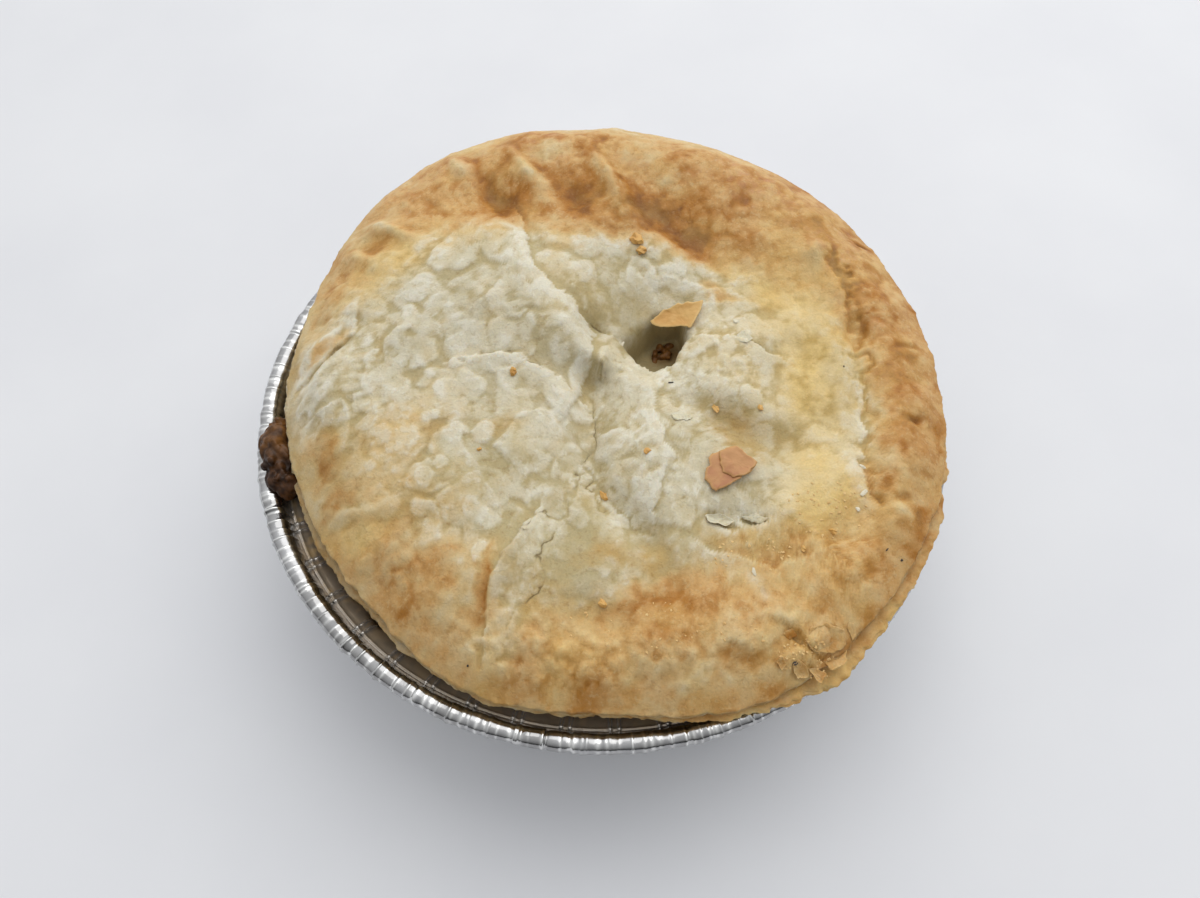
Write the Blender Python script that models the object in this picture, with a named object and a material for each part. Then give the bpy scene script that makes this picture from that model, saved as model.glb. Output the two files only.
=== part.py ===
"""A single-serve beef pie in its foil tin.

Units are metres and +Z is up. The origin is the centre of the tin's flat base.
Angles run anticlockwise from +X as seen from above, and -Y is the front.
The tin is a turned, fluted wall with a rolled lip. The crust is one solid: a base crust that lines
the tin, and a puffed lid whose edge lies on the lip at the right and has shrunk inside it at the
front left. The beef filling runs through the crust, shows at the steam vent and leaks out at the left.
"""

import math

import bmesh
import bpy
import numpy as np
from mathutils import Vector

TURN = 2 * math.pi
CLEARANCE = 0.0003

# Foil tin
TIN_HEIGHT = 0.0302
TIN_LIP_RADIUS = 0.0600
TIN_BASE_RADIUS = 0.0455
TIN_WALL_TOP_RADIUS = 0.0539
TIN_LEDGE_HEIGHT = 0.0256
TIN_FOIL = 0.0008
TIN_SEGMENTS = 96
TIN_FLUTE_DEPTH = 0.0004
TIN_CRIMP_DEPTH = 0.0002
# The tin is a little out of round: angle, spread and how far the lip moves outwards
TIN_BENDS = (
    (math.radians(20), math.radians(80), -0.0014),
    (math.radians(175), math.radians(45), 0.0007),
)

# Crust, all round from +X: outline radius every 22.5 degrees, then heights every 45 degrees
CRUST_SEGMENTS = 104
OUTLINE_RADII = (
    0.0572, 0.0575, 0.0591, 0.0599, 0.0611, 0.0626, 0.0603, 0.0560,
    0.0545, 0.0528, 0.0526, 0.0556, 0.0557, 0.0599, 0.0597, 0.0587,
)
EDGE_HEIGHTS = (0.0352, 0.0356, 0.0364, 0.0361, 0.0338, 0.0326, 0.0332, 0.0346)
SHOULDER_RISES = (0.0040, 0.0048, 0.0060, 0.0058, 0.0042, 0.0046, 0.0044, 0.0040)
LID_INSETS = (0.0004, 0.0003, 0.0003, 0.0003, 0.0000, 0.0000, 0.0008, 0.0020)
FLANGE_OUTSETS = (0.0000, 0.0000, 0.0000, 0.0000, 0.0010, 0.0004, -0.0006, 0.0000)
SHRINK_GAPS = (0.0000, 0.0000, 0.0000, 0.0002, 0.0012, 0.0042, 0.0034, 0.0000)
SHOULDER_POWER = 9.0
# Broken corner of the base crust that sticks out at the front right: angle, spread, how far
CORNER = (math.radians(303), math.radians(8), 0.0014)
LID_LAYER = 0.0010
SEAM_DEPTH = 0.0008
SEAM_HEIGHT = 0.0009
FLANGE_DEPTH = 0.0036
FLANGE_UNDERCUT = 0.0015
FLANGE_REST = TIN_HEIGHT + 0.0004
LIP_INNER_RADIUS = 0.0560
NECK_RADIUS = 0.0543
WALL_STEP = 0.0014
WALL_TAPER = 0.0045
CRUST_FLOOR = 0.0012
FLOOR_ROUND = 0.0020
LID_RINGS = (
    0.10, 0.18, 0.26, 0.34, 0.41, 0.48, 0.55, 0.61, 0.67,
    0.73, 0.78, 0.83, 0.87, 0.91, 0.94, 0.97, 0.99, 1.00,
)

# Lid relief: name, centre x and y, half length, half width, turn in degrees, height, steepness
LID_MOUNDS = (
    ("left_lobe", -0.0260, 0.0020, 0.0270, 0.0250, 80, 0.0030, 4),
    ("lower_left_pillow", -0.0270, -0.0300, 0.0180, 0.0120, 150, 0.0014, 2),
    ("slip_by_the_crack", -0.0130, -0.0340, 0.0080, 0.0060, 80, 0.0007, 4),
    ("right_block", 0.0080, -0.0140, 0.0120, 0.0080, 80, 0.0018, 2),
    ("vent_shoulder", 0.0210, 0.0030, 0.0100, 0.0065, 10, 0.0017, 2),
    ("knoll_by_the_valley", 0.0210, -0.0060, 0.0060, 0.0045, -20, 0.0011, 2),
    ("upper_right_plateau", 0.0290, 0.0330, 0.0170, 0.0120, -48, 0.0020, 4),
    ("front_pillow", 0.0050, -0.0470, 0.0260, 0.0080, 0, 0.0012, 2),
    ("front_right_pillow", 0.0200, -0.0440, 0.0090, 0.0060, -20, 0.0008, 2),
    ("right_band_upper", 0.0460, 0.0110, 0.0130, 0.0060, 95, 0.0012, 2),
    ("right_band_lower", 0.0470, -0.0200, 0.0120, 0.0060, 72, 0.0014, 2),
    ("back_fold_ridge", 0.0020, 0.0415, 0.0075, 0.0022, -66, 0.0013, 2),
    ("left_fold_ridge", -0.0400, 0.0312, 0.0075, 0.0025, -28, 0.0012, 2),
    ("left_pinch_ridge", -0.0465, 0.0010, 0.0060, 0.0025, 35, 0.0008, 2),
    ("curled_plate", 0.0285, -0.0485, 0.0040, 0.0022, 40, 0.0011, 4),
    ("vent_basin", 0.0068, 0.0072, 0.0110, 0.0100, 20, -0.0044, 2),
    ("basin_tail", 0.0035, 0.0180, 0.0100, 0.0060, 80, -0.0016, 2),
    ("yellow_plain", 0.0330, -0.0060, 0.0130, 0.0070, 85, -0.0009, 2),
    ("vent_lip_front", 0.0030, 0.0000, 0.0080, 0.0030, -38, 0.0009, 2),
    ("flaky_pit", 0.0262, -0.0468, 0.0030, 0.0022, -30, -0.0013, 2),
    ("slot_by_the_flake", 0.0195, -0.0275, 0.0050, 0.0018, -5, -0.0010, 2),
    ("back_left_slope", -0.0190, 0.0370, 0.0090, 0.0060, -40, -0.0012, 2),
    ("back_right_slope", 0.0180, 0.0280, 0.0100, 0.0050, -50, -0.0014, 2),
)
# Share of the radius where the relief starts to flatten out towards the edge
RELIEF_ENDS = 0.86
# Valleys along the lid: points, half width, depth
LID_VALLEYS = (
    (((-0.0015, 0.0086), (-0.0028, -0.0138), (-0.0022, -0.0212), (0.0061, -0.0300)), 0.0028, 0.0022),
    (((0.0140, -0.0075), (0.0210, -0.0115), (0.0290, -0.0152)), 0.0030, 0.0016),
    (((0.0429, 0.0060), (0.0418, -0.0100), (0.0412, -0.0240), (0.0362, -0.0318)), 0.0026, 0.0013),
    (((-0.0133, -0.0379), (0.0009, -0.0437), (0.0090, -0.0400)), 0.0028, 0.0007),
    (((-0.0505, 0.0015), (-0.0465, 0.0049), (-0.0421, 0.0100)), 0.0020, 0.0009),
    (((-0.0137, 0.0297), (-0.0068, 0.0143), (-0.0013, 0.0086)), 0.0020, 0.0009),
)
# Puffed ridges just inside the edge: angle, spread, share of the radius, height
RIM_RIDGES = (
    (math.radians(85), math.radians(75), 0.83, 0.0016),
    (math.radians(-5), math.radians(60), 0.87, 0.0011),
)
RIM_RIDGE_WIDTH = 0.09
# Small folds that run out to the edge: how many, height, share of the radius and width of their band
PUCKER_COUNT = 26
PUCKER_HEIGHT = 0.00035
PUCKER_RING = 0.93
PUCKER_BAND = 0.06
# Blisters scattered over the whole lid
BLISTER_COUNT = 46
BLISTER_REACH = 0.047
BLISTER_RADII = (0.0026, 0.0050)
BLISTER_RISES = (0.0003, 0.0008)

# Steam vent: a rounded triangle cut through the lid
VENT_CORNERS = (
    (0.0022, 0.0074), (0.0089, 0.0010), (0.0114, 0.0021),
    (0.0142, 0.0066), (0.0140, 0.0120), (0.0094, 0.0118),
)
VENT_ROUNDING = 0.0009
VENT_BOTTOM = 0.0250
VENT_TOP = 0.0450

# Beef filling
FILLING_PROFILE = (
    (0.0140, 0.0289), (0.0280, 0.0284), (0.0400, 0.0270), (0.0445, 0.0252),
    (0.0455, 0.0220), (0.0430, 0.0120), (0.0400, 0.0062), (0.0360, 0.0054),
)
FILLING_TOP = 0.0290
FILLING_BOTTOM = 0.0054
FILLING_SEGMENTS = 48
# Spoonful that leaks over the lip: x, y, z, radius. The first four are the neck through the seam.
LEAK_LUMPS = (
    (-0.0440, -0.0085, 0.0272, 0.0030),
    (-0.0468, -0.0090, 0.0282, 0.0027),
    (-0.0496, -0.0096, 0.0288, 0.0026),
    (-0.0522, -0.0102, 0.0292, 0.0026),
    (-0.0573, -0.0076, 0.0314, 0.0019),
    (-0.0556, -0.0048, 0.0312, 0.0019),
    (-0.0560, -0.0078, 0.0318, 0.0024),
    (-0.0557, -0.0110, 0.0315, 0.0024),
    (-0.0540, -0.0094, 0.0302, 0.0027),
    (-0.0552, -0.0140, 0.0307, 0.0020),
    (-0.0533, -0.0146, 0.0300, 0.0024),
    (-0.0532, -0.0168, 0.0293, 0.0018),
)
NECK_LUMPS = 4
# Mince that shows in the vent: x, y, z, radius
VENT_MINCE = (
    (0.0105, 0.0094, 0.0296, 0.0014),
    (0.0121, 0.0090, 0.0295, 0.0013),
    (0.0118, 0.0068, 0.0293, 0.0013),
    (0.0092, 0.0072, 0.0292, 0.0013),
    (0.0098, 0.0042, 0.0290, 0.0013),
    (0.0066, 0.0056, 0.0288, 0.0012),
)
MINCE_SHAPE = (1.15, 0.9, 0.85)

# Loose flakes that lie on the lid: their broken outlines, in order round each
FLAKE_THICKNESS = 0.0007
FLAKE_CURL = 0.0003
FLAKE_GAP = 0.0004
GOLD_FLAKE = (
    (0.0087, 0.0108), (0.0105, 0.0122), (0.0134, 0.0131), (0.0176, 0.0131),
    (0.0169, 0.0104), (0.0154, 0.0084), (0.0115, 0.0090), (0.0093, 0.0096),
)
PINK_FLAKE = (
    (0.0164, -0.0175), (0.0202, -0.0160), (0.0235, -0.0191), (0.0222, -0.0207),
    (0.0194, -0.0223), (0.0168, -0.0237), (0.0150, -0.0214),
)
# Crumbs fused to the lid: x, y, radius
CRUMBS = (
    (-0.0148, -0.0010, 0.0007), (0.0070, 0.0279, 0.0013), (-0.0005, -0.0220, 0.0008),
    (-0.0012, -0.0404, 0.0008), (0.0065, -0.0147, 0.0007), (0.0185, -0.0070, 0.0007),
    (0.0254, -0.0072, 0.0006), (0.0243, 0.0070, 0.0012), (0.0085, 0.0178, 0.0009),
    (0.0100, 0.0157, 0.0009),
)
CRUMB_SHAPE = (1.2, 0.9, 0.8)
CRUMB_RISE = 0.25


def clear_scene():
    for obj in list(bpy.data.objects):
        bpy.data.objects.remove(obj)


def material(name, colour, roughness, metallic=0.0):
    made = bpy.data.materials.new(name)
    made.use_nodes = True
    shader = made.node_tree.nodes["Principled BSDF"]
    shader.inputs["Base Color"].default_value = (*colour, 1.0)
    shader.inputs["Roughness"].default_value = roughness
    shader.inputs["Metallic"].default_value = metallic
    return made


def smooth_step(low, high, value):
    """0 below low, 1 above high, and a smooth cubic between them."""
    t = np.clip((value - low) / (high - low), 0, 1)
    return t * t * (3 - 2 * t)


def around(theta, values):
    """Smooth closed curve through values that are spaced evenly round the circle, read at theta."""
    values = np.asarray(values)
    count = len(values)
    place = np.mod(theta / TURN * count, count)
    index = np.floor(place).astype(int)
    t = place - index
    before, here, after, beyond = (values[(index + step) % count] for step in (-1, 0, 1, 2))
    bend = 2 * before - 5 * here + 4 * after - beyond
    swing = 3 * here - before - 3 * after + beyond
    return here + 0.5 * t * (after - before + t * (bend + t * swing))


def angle_bump(theta, centre, spread):
    """1 at the centre angle, falling smoothly to 0 at spread to either side."""
    apart = np.abs(np.mod(theta - centre + math.pi, TURN) - math.pi)
    return 1 - smooth_step(0, spread, apart)


def distance_to_path(x, y, points):
    """Distance from each (x, y) to the nearest point of a broken line."""
    nearest = np.full(np.shape(x), np.inf)
    for (ax, ay), (bx, by) in zip(points, points[1:]):
        run_x, run_y = bx - ax, by - ay
        t = np.clip(((x - ax) * run_x + (y - ay) * run_y) / (run_x**2 + run_y**2), 0, 1)
        nearest = np.minimum(nearest, np.hypot(x - ax - t * run_x, y - ay - t * run_y))
    return nearest


def lid_radius(theta):
    """Radius of the lid's own edge, which lies a little inside the outline at the front right."""
    return around(theta, OUTLINE_RADII) - around(theta, LID_INSETS)


def blisters(x, y):
    """Low round blisters at seeded random places."""
    draw = np.random.default_rng(7)
    height = np.zeros(np.shape(x))
    for _ in range(BLISTER_COUNT):
        turn, reach = draw.uniform(0, TURN), BLISTER_REACH * math.sqrt(draw.uniform(0, 1))
        radius, rise = draw.uniform(*BLISTER_RADII), draw.uniform(*BLISTER_RISES)
        away = np.hypot(x - reach * math.cos(turn), y - reach * math.sin(turn)) / radius
        height += rise * np.exp(-(away**2))
    return height


def lid_relief(x, y):
    """Mounds, dips, valleys and blisters of the lid as one height."""
    height = blisters(x, y)
    for _, centre_x, centre_y, half_length, half_width, turn, rise, power in LID_MOUNDS:
        c, s = math.cos(math.radians(turn)), math.sin(math.radians(turn))
        along = ((x - centre_x) * c + (y - centre_y) * s) / half_length
        across = ((y - centre_y) * c - (x - centre_x) * s) / half_width
        height += rise * np.exp(-(np.hypot(along, across) ** power))
    for points, half_width, depth in LID_VALLEYS:
        height -= depth * np.exp(-((distance_to_path(x, y, points) / half_width) ** 2))
    return height


def lid_height(x, y):
    """Height of the lid's top: the edge, a steep round shoulder, the rim ridges and the relief."""
    theta = np.arctan2(y, x)
    share = np.clip(np.hypot(x, y) / lid_radius(theta), 0, 1)
    shoulder = around(theta, SHOULDER_RISES) * (1 - share**SHOULDER_POWER)
    inward = 1 - smooth_step(RELIEF_ENDS, 1.0, share)
    relief = lid_relief(x, y) * inward
    for centre, spread, ring, rise in RIM_RIDGES:
        across = (share - ring) / RIM_RIDGE_WIDTH
        relief = relief + rise * angle_bump(theta, centre, spread) * np.exp(-(across**2))
    pucker = PUCKER_HEIGHT * np.sin(PUCKER_COUNT * theta + 3 * np.sin(2 * theta))
    relief = relief + pucker * np.exp(-(((share - PUCKER_RING) / PUCKER_BAND) ** 2))
    return around(theta, EDGE_HEIGHTS) + shoulder + relief


def ring_points(radius, height, segments):
    """A closed ring of points; radius and height are numbers or one value for each segment."""
    theta = np.arange(segments) * TURN / segments
    flat = np.ones(segments)
    return np.stack([radius * np.cos(theta), radius * np.sin(theta), height * flat], axis=1)


def skin_of_rings(name, rings, first_pole, last_pole):
    """A closed mesh: quads between neighbouring rings and a fan to a pole at each end."""
    segments = len(rings[0])
    mesh_points = bmesh.new()
    loops = [[mesh_points.verts.new(point) for point in ring] for ring in rings]
    for near, far in zip(loops, loops[1:]):
        for i in range(segments):
            j = (i + 1) % segments
            mesh_points.faces.new((near[i], near[j], far[j], far[i]))
    for loop, pole in ((loops[0], first_pole), (loops[-1], last_pole)):
        tip = mesh_points.verts.new(pole)
        for i in range(segments):
            mesh_points.faces.new((loop[i], loop[(i + 1) % segments], tip))
    bmesh.ops.recalc_face_normals(mesh_points, faces=mesh_points.faces)
    bmesh.ops.triangulate(mesh_points, faces=[f for f in mesh_points.faces if len(f.verts) > 3])
    return object_of(name, mesh_points)


def object_of(name, mesh_points):
    mesh = bpy.data.meshes.new(name)
    mesh_points.to_mesh(mesh)
    mesh_points.free()
    obj = bpy.data.objects.new(name, mesh)
    bpy.context.scene.collection.objects.link(obj)
    return obj


def finish(obj, look, sharp_degrees=50):
    obj.data.materials.clear()
    obj.data.materials.append(look)
    obj.data.shade_smooth()
    obj.data.set_sharp_from_angle(angle=math.radians(sharp_degrees))
    return obj


def apply_modifiers(obj):
    graph = bpy.context.evaluated_depsgraph_get()
    made = bpy.data.meshes.new_from_object(obj.evaluated_get(graph))
    obj.modifiers.clear()
    obj.data = made
    made.name = obj.name


def join_or_cut(obj, others, operation, solver="EXACT"):
    """Boolean of obj with a collection of closed pieces, applied; the pieces are then removed."""
    group = bpy.data.collections.new(obj.name + "_pieces")
    bpy.context.scene.collection.children.link(group)
    for other in others:
        bpy.context.scene.collection.objects.unlink(other)
        group.objects.link(other)
    boolean = obj.modifiers.new("pieces", "BOOLEAN")
    boolean.operation = operation
    boolean.solver = solver
    boolean.operand_type = "COLLECTION"
    boolean.collection = group
    apply_modifiers(obj)
    for other in others:
        bpy.data.objects.remove(other)
    bpy.data.collections.remove(group)
    return obj


def lump(name, centre, radius, stretch=(1, 1, 1), subdivisions=2):
    """A rounded grain: a small icosphere, stretched."""
    grain = bmesh.new()
    bmesh.ops.create_icosphere(grain, subdivisions=subdivisions, radius=radius)
    bmesh.ops.scale(grain, vec=Vector(stretch), verts=grain.verts)
    bmesh.ops.translate(grain, vec=Vector(centre), verts=grain.verts)
    return object_of(name, grain)


def tin_profile():
    """Outside from the base's edge up over the rolled lip, then inside down to the base: radius,
    height, share of the flutes and share of the lip's crimps and bends."""
    wall_top, ledge, lip = TIN_WALL_TOP_RADIUS, TIN_LEDGE_HEIGHT, TIN_LIP_RADIUS
    base, foil, top = TIN_BASE_RADIUS, TIN_FOIL, TIN_HEIGHT
    return (
        (base - 0.0060, 0.0, 0, 0),
        (base, 0.0, 0, 0),
        (base + 0.0011, 0.0010, 0.4, 0),
        (wall_top, ledge - 0.0010, 1, 0),
        (lip - 0.0032, ledge, 0, 0.6),
        (lip - 0.0024, ledge + 0.0014, 0, 1),
        (lip - 0.0009, ledge + 0.0016, 0, 1),
        (lip, top - 0.0018, 0, 1),
        (lip - 0.0006, top - 0.0004, 0, 1),
        (lip - 0.0017, top, 0, 1),
        (lip - 0.0028, top - 0.0006, 0, 1),
        (lip - 0.0033, top - 0.0026, 0, 1),
        (lip - 0.0038, ledge + 0.0009, 0, 0.6),
        (wall_top - 0.0002, ledge, 0.3, 0.1),
        (wall_top - foil - 0.0001, ledge - 0.0014, 1, 0),
        (base + 0.0002, 0.0015, 0.4, 0),
        (base - 0.0008, foil, 0, 0),
        (base - 0.0060, foil, 0, 0),
    )


def tin_shell(name, grow=0.0):
    """The tin, or with grow the same shape swollen along its normals."""
    theta = np.arange(TIN_SEGMENTS) * TURN / TIN_SEGMENTS
    flutes = TIN_FLUTE_DEPTH * np.cos(TIN_SEGMENTS / 2 * theta)
    crimps = TIN_CRIMP_DEPTH * np.random.default_rng(11).uniform(-1, 1, TIN_SEGMENTS)
    bend = sum(shift * angle_bump(theta, centre, spread) for centre, spread, shift in TIN_BENDS)
    rings = [
        ring_points(radius + fluted * flutes + lipped * (crimps + bend), height, TIN_SEGMENTS)
        for radius, height, fluted, lipped in tin_profile()
    ]
    shell = skin_of_rings(name, rings, (0, 0, 0), (0, 0, TIN_FOIL))
    if grow:
        for vertex in shell.data.vertices:
            vertex.co += grow * vertex.normal
    return shell


def crust_rings():
    """Rings over the lid from the middle out, round the two-layered edge and down the base crust."""
    theta = np.arange(CRUST_SEGMENTS) * TURN / CRUST_SEGMENTS
    lid_edge = lid_radius(theta)
    edge_height = around(theta, EDGE_HEIGHTS)
    corner_angle, corner_spread, corner_reach = CORNER
    flange = around(theta, OUTLINE_RADII) + around(theta, FLANGE_OUTSETS)
    flange = flange + corner_reach * angle_bump(theta, corner_angle, corner_spread)
    over_lip = np.where(flange > LIP_INNER_RADIUS, FLANGE_REST, 0)
    rest = np.maximum(edge_height - FLANGE_DEPTH, over_lip)
    gap = np.maximum(around(theta, SHRINK_GAPS), 0)
    neck = np.minimum(NECK_RADIUS, flange - FLANGE_UNDERCUT) - gap
    rings = []
    for share in LID_RINGS:
        radius = share * lid_edge
        height = lid_height(radius * np.cos(theta), radius * np.sin(theta))
        rings.append(ring_points(radius, height, CRUST_SEGMENTS))
    shelf = TIN_LEDGE_HEIGHT + WALL_STEP
    wall_height = TIN_LEDGE_HEIGHT - WALL_STEP
    wall_radius = TIN_WALL_TOP_RADIUS - TIN_FOIL - TIN_FLUTE_DEPTH - 2 * CLEARANCE
    seam = edge_height - LID_LAYER
    side = (
        (lid_edge, seam),
        (np.minimum(lid_edge, flange) - SEAM_DEPTH, seam - SEAM_HEIGHT / 2),
        (flange, seam - SEAM_HEIGHT),
        (flange - 0.2 * SEAM_DEPTH, rest + 0.5 * SEAM_HEIGHT),
        (flange - FLANGE_UNDERCUT, rest),
        (neck, rest),
        (neck - CLEARANCE, shelf),
        (wall_radius - gap, wall_height),
        (wall_radius - WALL_TAPER - 0.7 * gap, wall_height / 2),
        (TIN_BASE_RADIUS - CLEARANCE - 0.3 * gap, CRUST_FLOOR + FLOOR_ROUND),
        (TIN_BASE_RADIUS - FLOOR_ROUND - 0.2 * gap, CRUST_FLOOR),
    )
    rings += [ring_points(radius, height, CRUST_SEGMENTS) for radius, height in side]
    return rings


def crust_block():
    middle = float(lid_height(np.array([0.0]), np.array([0.0]))[0])
    return skin_of_rings("pastry_crust", crust_rings(), (0, 0, middle), (0, 0, CRUST_FLOOR))


def filling_body(name, grow=0.0):
    """The core inside the crust with the leak joined on, or the space for it when grow is set."""
    rings = [
        ring_points(radius + grow, height + math.copysign(grow, height - 0.018), FILLING_SEGMENTS)
        for radius, height in FILLING_PROFILE
    ]
    core = skin_of_rings(name, rings, (0, 0, FILLING_TOP + grow), (0, 0, FILLING_BOTTOM - grow))
    lumps = [
        lump(f"leak_{i}", (x, y, z), radius + grow, subdivisions=1 if i < NECK_LUMPS else 2)
        for i, (x, y, z, radius) in enumerate(LEAK_LUMPS)
    ]
    return join_or_cut(core, lumps, "UNION")


def vent_cutter():
    """A prism through the lid with the vent's outline, its corners bevelled round."""
    prism = bmesh.new()
    base = [prism.verts.new((x, y, VENT_BOTTOM)) for x, y in VENT_CORNERS]
    face = prism.faces.new(base)
    raised = bmesh.ops.extrude_face_region(prism, geom=[face])["geom"]
    top = [item for item in raised if isinstance(item, bmesh.types.BMVert)]
    bmesh.ops.translate(prism, vec=Vector((0, 0, VENT_TOP - VENT_BOTTOM)), verts=top)
    upright = [e for e in prism.edges if abs(e.verts[0].co.z - e.verts[1].co.z) > VENT_ROUNDING]
    bmesh.ops.bevel(prism, geom=upright, offset=VENT_ROUNDING, segments=2, affect="EDGES")
    bmesh.ops.recalc_face_normals(prism, faces=prism.faces)
    return object_of("vent_cutter", prism)


def flake(name, outline):
    """A thin broken plate on the plane that fits the lid under it, its ends curled up a little."""
    edge = np.array(outline)
    middle = edge.mean(axis=0)
    reach = np.hypot(*(edge - middle).T).max()
    inner = middle + 0.5 * (edge - middle)
    under = np.vstack([edge, inner, middle])
    lid = lid_height(under[:, 0], under[:, 1])
    slope, _, _, _ = np.linalg.lstsq(np.c_[under - middle, np.ones(len(under))], lid, rcond=None)
    plane = np.c_[under - middle, np.ones(len(under))] @ slope
    lift = (lid - plane).max() + FLAKE_GAP
    curl = FLAKE_CURL * (np.hypot(*(under - middle).T) / reach) ** 2
    plate = bmesh.new()
    skins = []
    for rise in (0.0, FLAKE_THICKNESS):
        heights = plane + lift + curl + rise
        skins.append([plate.verts.new((x, y, z)) for (x, y), z in zip(under, heights)])
    count = len(edge)
    for points in skins:
        for i in range(count):
            j = (i + 1) % count
            plate.faces.new((points[i], points[j], points[count + j]))
            plate.faces.new((points[i], points[count + j], points[count + i]))
            plate.faces.new((points[count + i], points[count + j], points[2 * count]))
    lower, upper = skins
    for i in range(count):
        j = (i + 1) % count
        plate.faces.new((lower[i], lower[j], upper[j], upper[i]))
    bmesh.ops.recalc_face_normals(plate, faces=plate.faces)
    return object_of(name, plate)


def crumbs():
    """Small crumbs half sunk in the lid."""
    made = []
    for i, (x, y, radius) in enumerate(CRUMBS):
        height = float(lid_height(np.array([x]), np.array([y]))[0])
        centre = (x, y, height + CRUMB_RISE * radius)
        made.append(lump(f"crumb_{i}", centre, radius, CRUMB_SHAPE, subdivisions=1))
    return made


def build():
    clear_scene()
    foil = material("tin_foil", (0.72, 0.72, 0.73), 0.28, 1.0)
    pastry = material("baked_pastry", (0.66, 0.50, 0.26), 0.62)
    beef = material("beef_in_gravy", (0.13, 0.045, 0.014), 0.30)
    gold = material("golden_flake", (0.68, 0.42, 0.15), 0.55)
    pink = material("browned_flake", (0.50, 0.23, 0.11), 0.60)

    tin = tin_shell("foil_tin")
    filling = filling_body("beef_filling")
    join_or_cut(filling, [tin_shell("tin_space", grow=CLEARANCE)], "DIFFERENCE")
    crust = crust_block()
    join_or_cut(crust, [filling_body("filling_space", grow=CLEARANCE)], "DIFFERENCE")
    join_or_cut(crust, [vent_cutter()], "DIFFERENCE")
    join_or_cut(crust, crumbs(), "UNION")
    mince = [
        lump(f"mince_{i}", (x, y, z), radius, MINCE_SHAPE)
        for i, (x, y, z, radius) in enumerate(VENT_MINCE)
    ]
    join_or_cut(filling, mince, "UNION")
    finish(tin, foil, 35)
    finish(crust, pastry)
    finish(filling, beef)
    finish(flake("gold_flake", GOLD_FLAKE), gold, 30)
    finish(flake("pink_flake", PINK_FLAKE), pink, 30)


build()
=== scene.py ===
# %% [markdown]
# A beef pie in its foil tin
#
# This lesson dresses the bare solids of a small beef pie until it looks like one that has just come out of
# the oven: a blistered pastry lid, cream in the middle and brown at the rim, a steam vent with mince in it,
# a spoonful of filling that has leaked over the lip, and a crimped foil tin.
# Most shapes here are height fields or profiles worked out with numpy, as whole arrays, and put into a mesh
# in one go. Lengths are metres, +Z is up, -Y is the front, and the origin is the middle of the tin's base.

# %% Load the solids
import math

import bpy
import numpy as np
from mathutils import Matrix, Vector


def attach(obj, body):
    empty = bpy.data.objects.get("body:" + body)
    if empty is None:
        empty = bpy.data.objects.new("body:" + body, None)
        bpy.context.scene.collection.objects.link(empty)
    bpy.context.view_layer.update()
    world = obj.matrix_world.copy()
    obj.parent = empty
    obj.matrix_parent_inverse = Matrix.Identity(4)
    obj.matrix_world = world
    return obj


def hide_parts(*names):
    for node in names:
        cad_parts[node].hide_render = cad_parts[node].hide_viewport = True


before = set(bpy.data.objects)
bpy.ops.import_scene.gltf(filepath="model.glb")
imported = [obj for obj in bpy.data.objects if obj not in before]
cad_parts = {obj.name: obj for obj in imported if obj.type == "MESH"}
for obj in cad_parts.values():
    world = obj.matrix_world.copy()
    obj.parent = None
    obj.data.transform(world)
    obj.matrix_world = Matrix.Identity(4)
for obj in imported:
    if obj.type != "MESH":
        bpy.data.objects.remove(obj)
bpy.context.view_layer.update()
MM = 0.001
TURN = 2 * math.pi
print("nodes:", sorted(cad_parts))

# %% [markdown]
# The camera
#
# The photo was taken from above the front edge, so that the far rim is foreshortened. The camera's place was
# solved from the tin's round lip. A slight roll is part of it.

# %% Place the camera
CAMERA_PLACE = np.array([-0.9, -85.5, 163.9]) * MM
CAMERA_ELEVATION = math.radians(60.55)
CAMERA_ROLL = math.radians(-1.78)
CAMERA_LENS = 27.06
SENSOR_WIDTH = 36.0


def camera_matrix(place, elevation, roll):
    """Looks along +Y tipped down by the elevation; right and up are turned about that line by the roll."""
    ahead = np.array([0, math.cos(elevation), -math.sin(elevation)])
    right = np.array([1.0, 0, 0])
    up = np.cross(right, ahead)
    turned_right = math.cos(roll) * right + math.sin(roll) * up
    turned_up = -math.sin(roll) * right + math.cos(roll) * up
    matrix = np.eye(4)
    matrix[:3] = np.column_stack([turned_right, turned_up, -ahead, place])
    return Matrix(matrix.tolist())


def add_camera():
    """One camera on a full-frame sensor, in focus all over."""
    data = bpy.data.cameras.new("photo_camera")
    data.lens = CAMERA_LENS
    data.sensor_width = SENSOR_WIDTH
    data.clip_start = 0.001
    camera = bpy.data.objects.new("photo_camera", data)
    bpy.context.scene.collection.objects.link(camera)
    camera.matrix_world = camera_matrix(CAMERA_PLACE, CAMERA_ELEVATION, CAMERA_ROLL)
    bpy.context.scene.camera = camera
    return camera


camera = add_camera()
print("camera at", [round(v, 4) for v in camera.location])

# %% [markdown]
# Smooth steps, rings and paths
#
# Three small tools carry most of the modelling: an eased step between two values, a smooth closed curve
# through numbers that are spaced evenly round a circle, and the distance to a broken line.


# %% Helpers for curves and distances
def smooth_step(low, high, value):
    """0 below low, 1 above high, and 3t^2 - 2t^3 between them."""
    t = np.clip((value - low) / (high - low), 0, 1)
    return t * t * (3 - 2 * t)


def around(theta, values):
    """Catmull-Rom curve through values spaced evenly round the circle, read at the angles theta."""
    values = np.asarray(values)
    count = len(values)
    place = np.mod(theta / TURN * count, count)
    index = np.floor(place).astype(int)
    t = place - index
    before, here, after, beyond = (values[(index + step) % count] for step in (-1, 0, 1, 2))
    bend = 2 * before - 5 * here + 4 * after - beyond
    swing = 3 * here - before - 3 * after + beyond
    return here + 0.5 * t * (after - before + t * (bend + t * swing))


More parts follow.
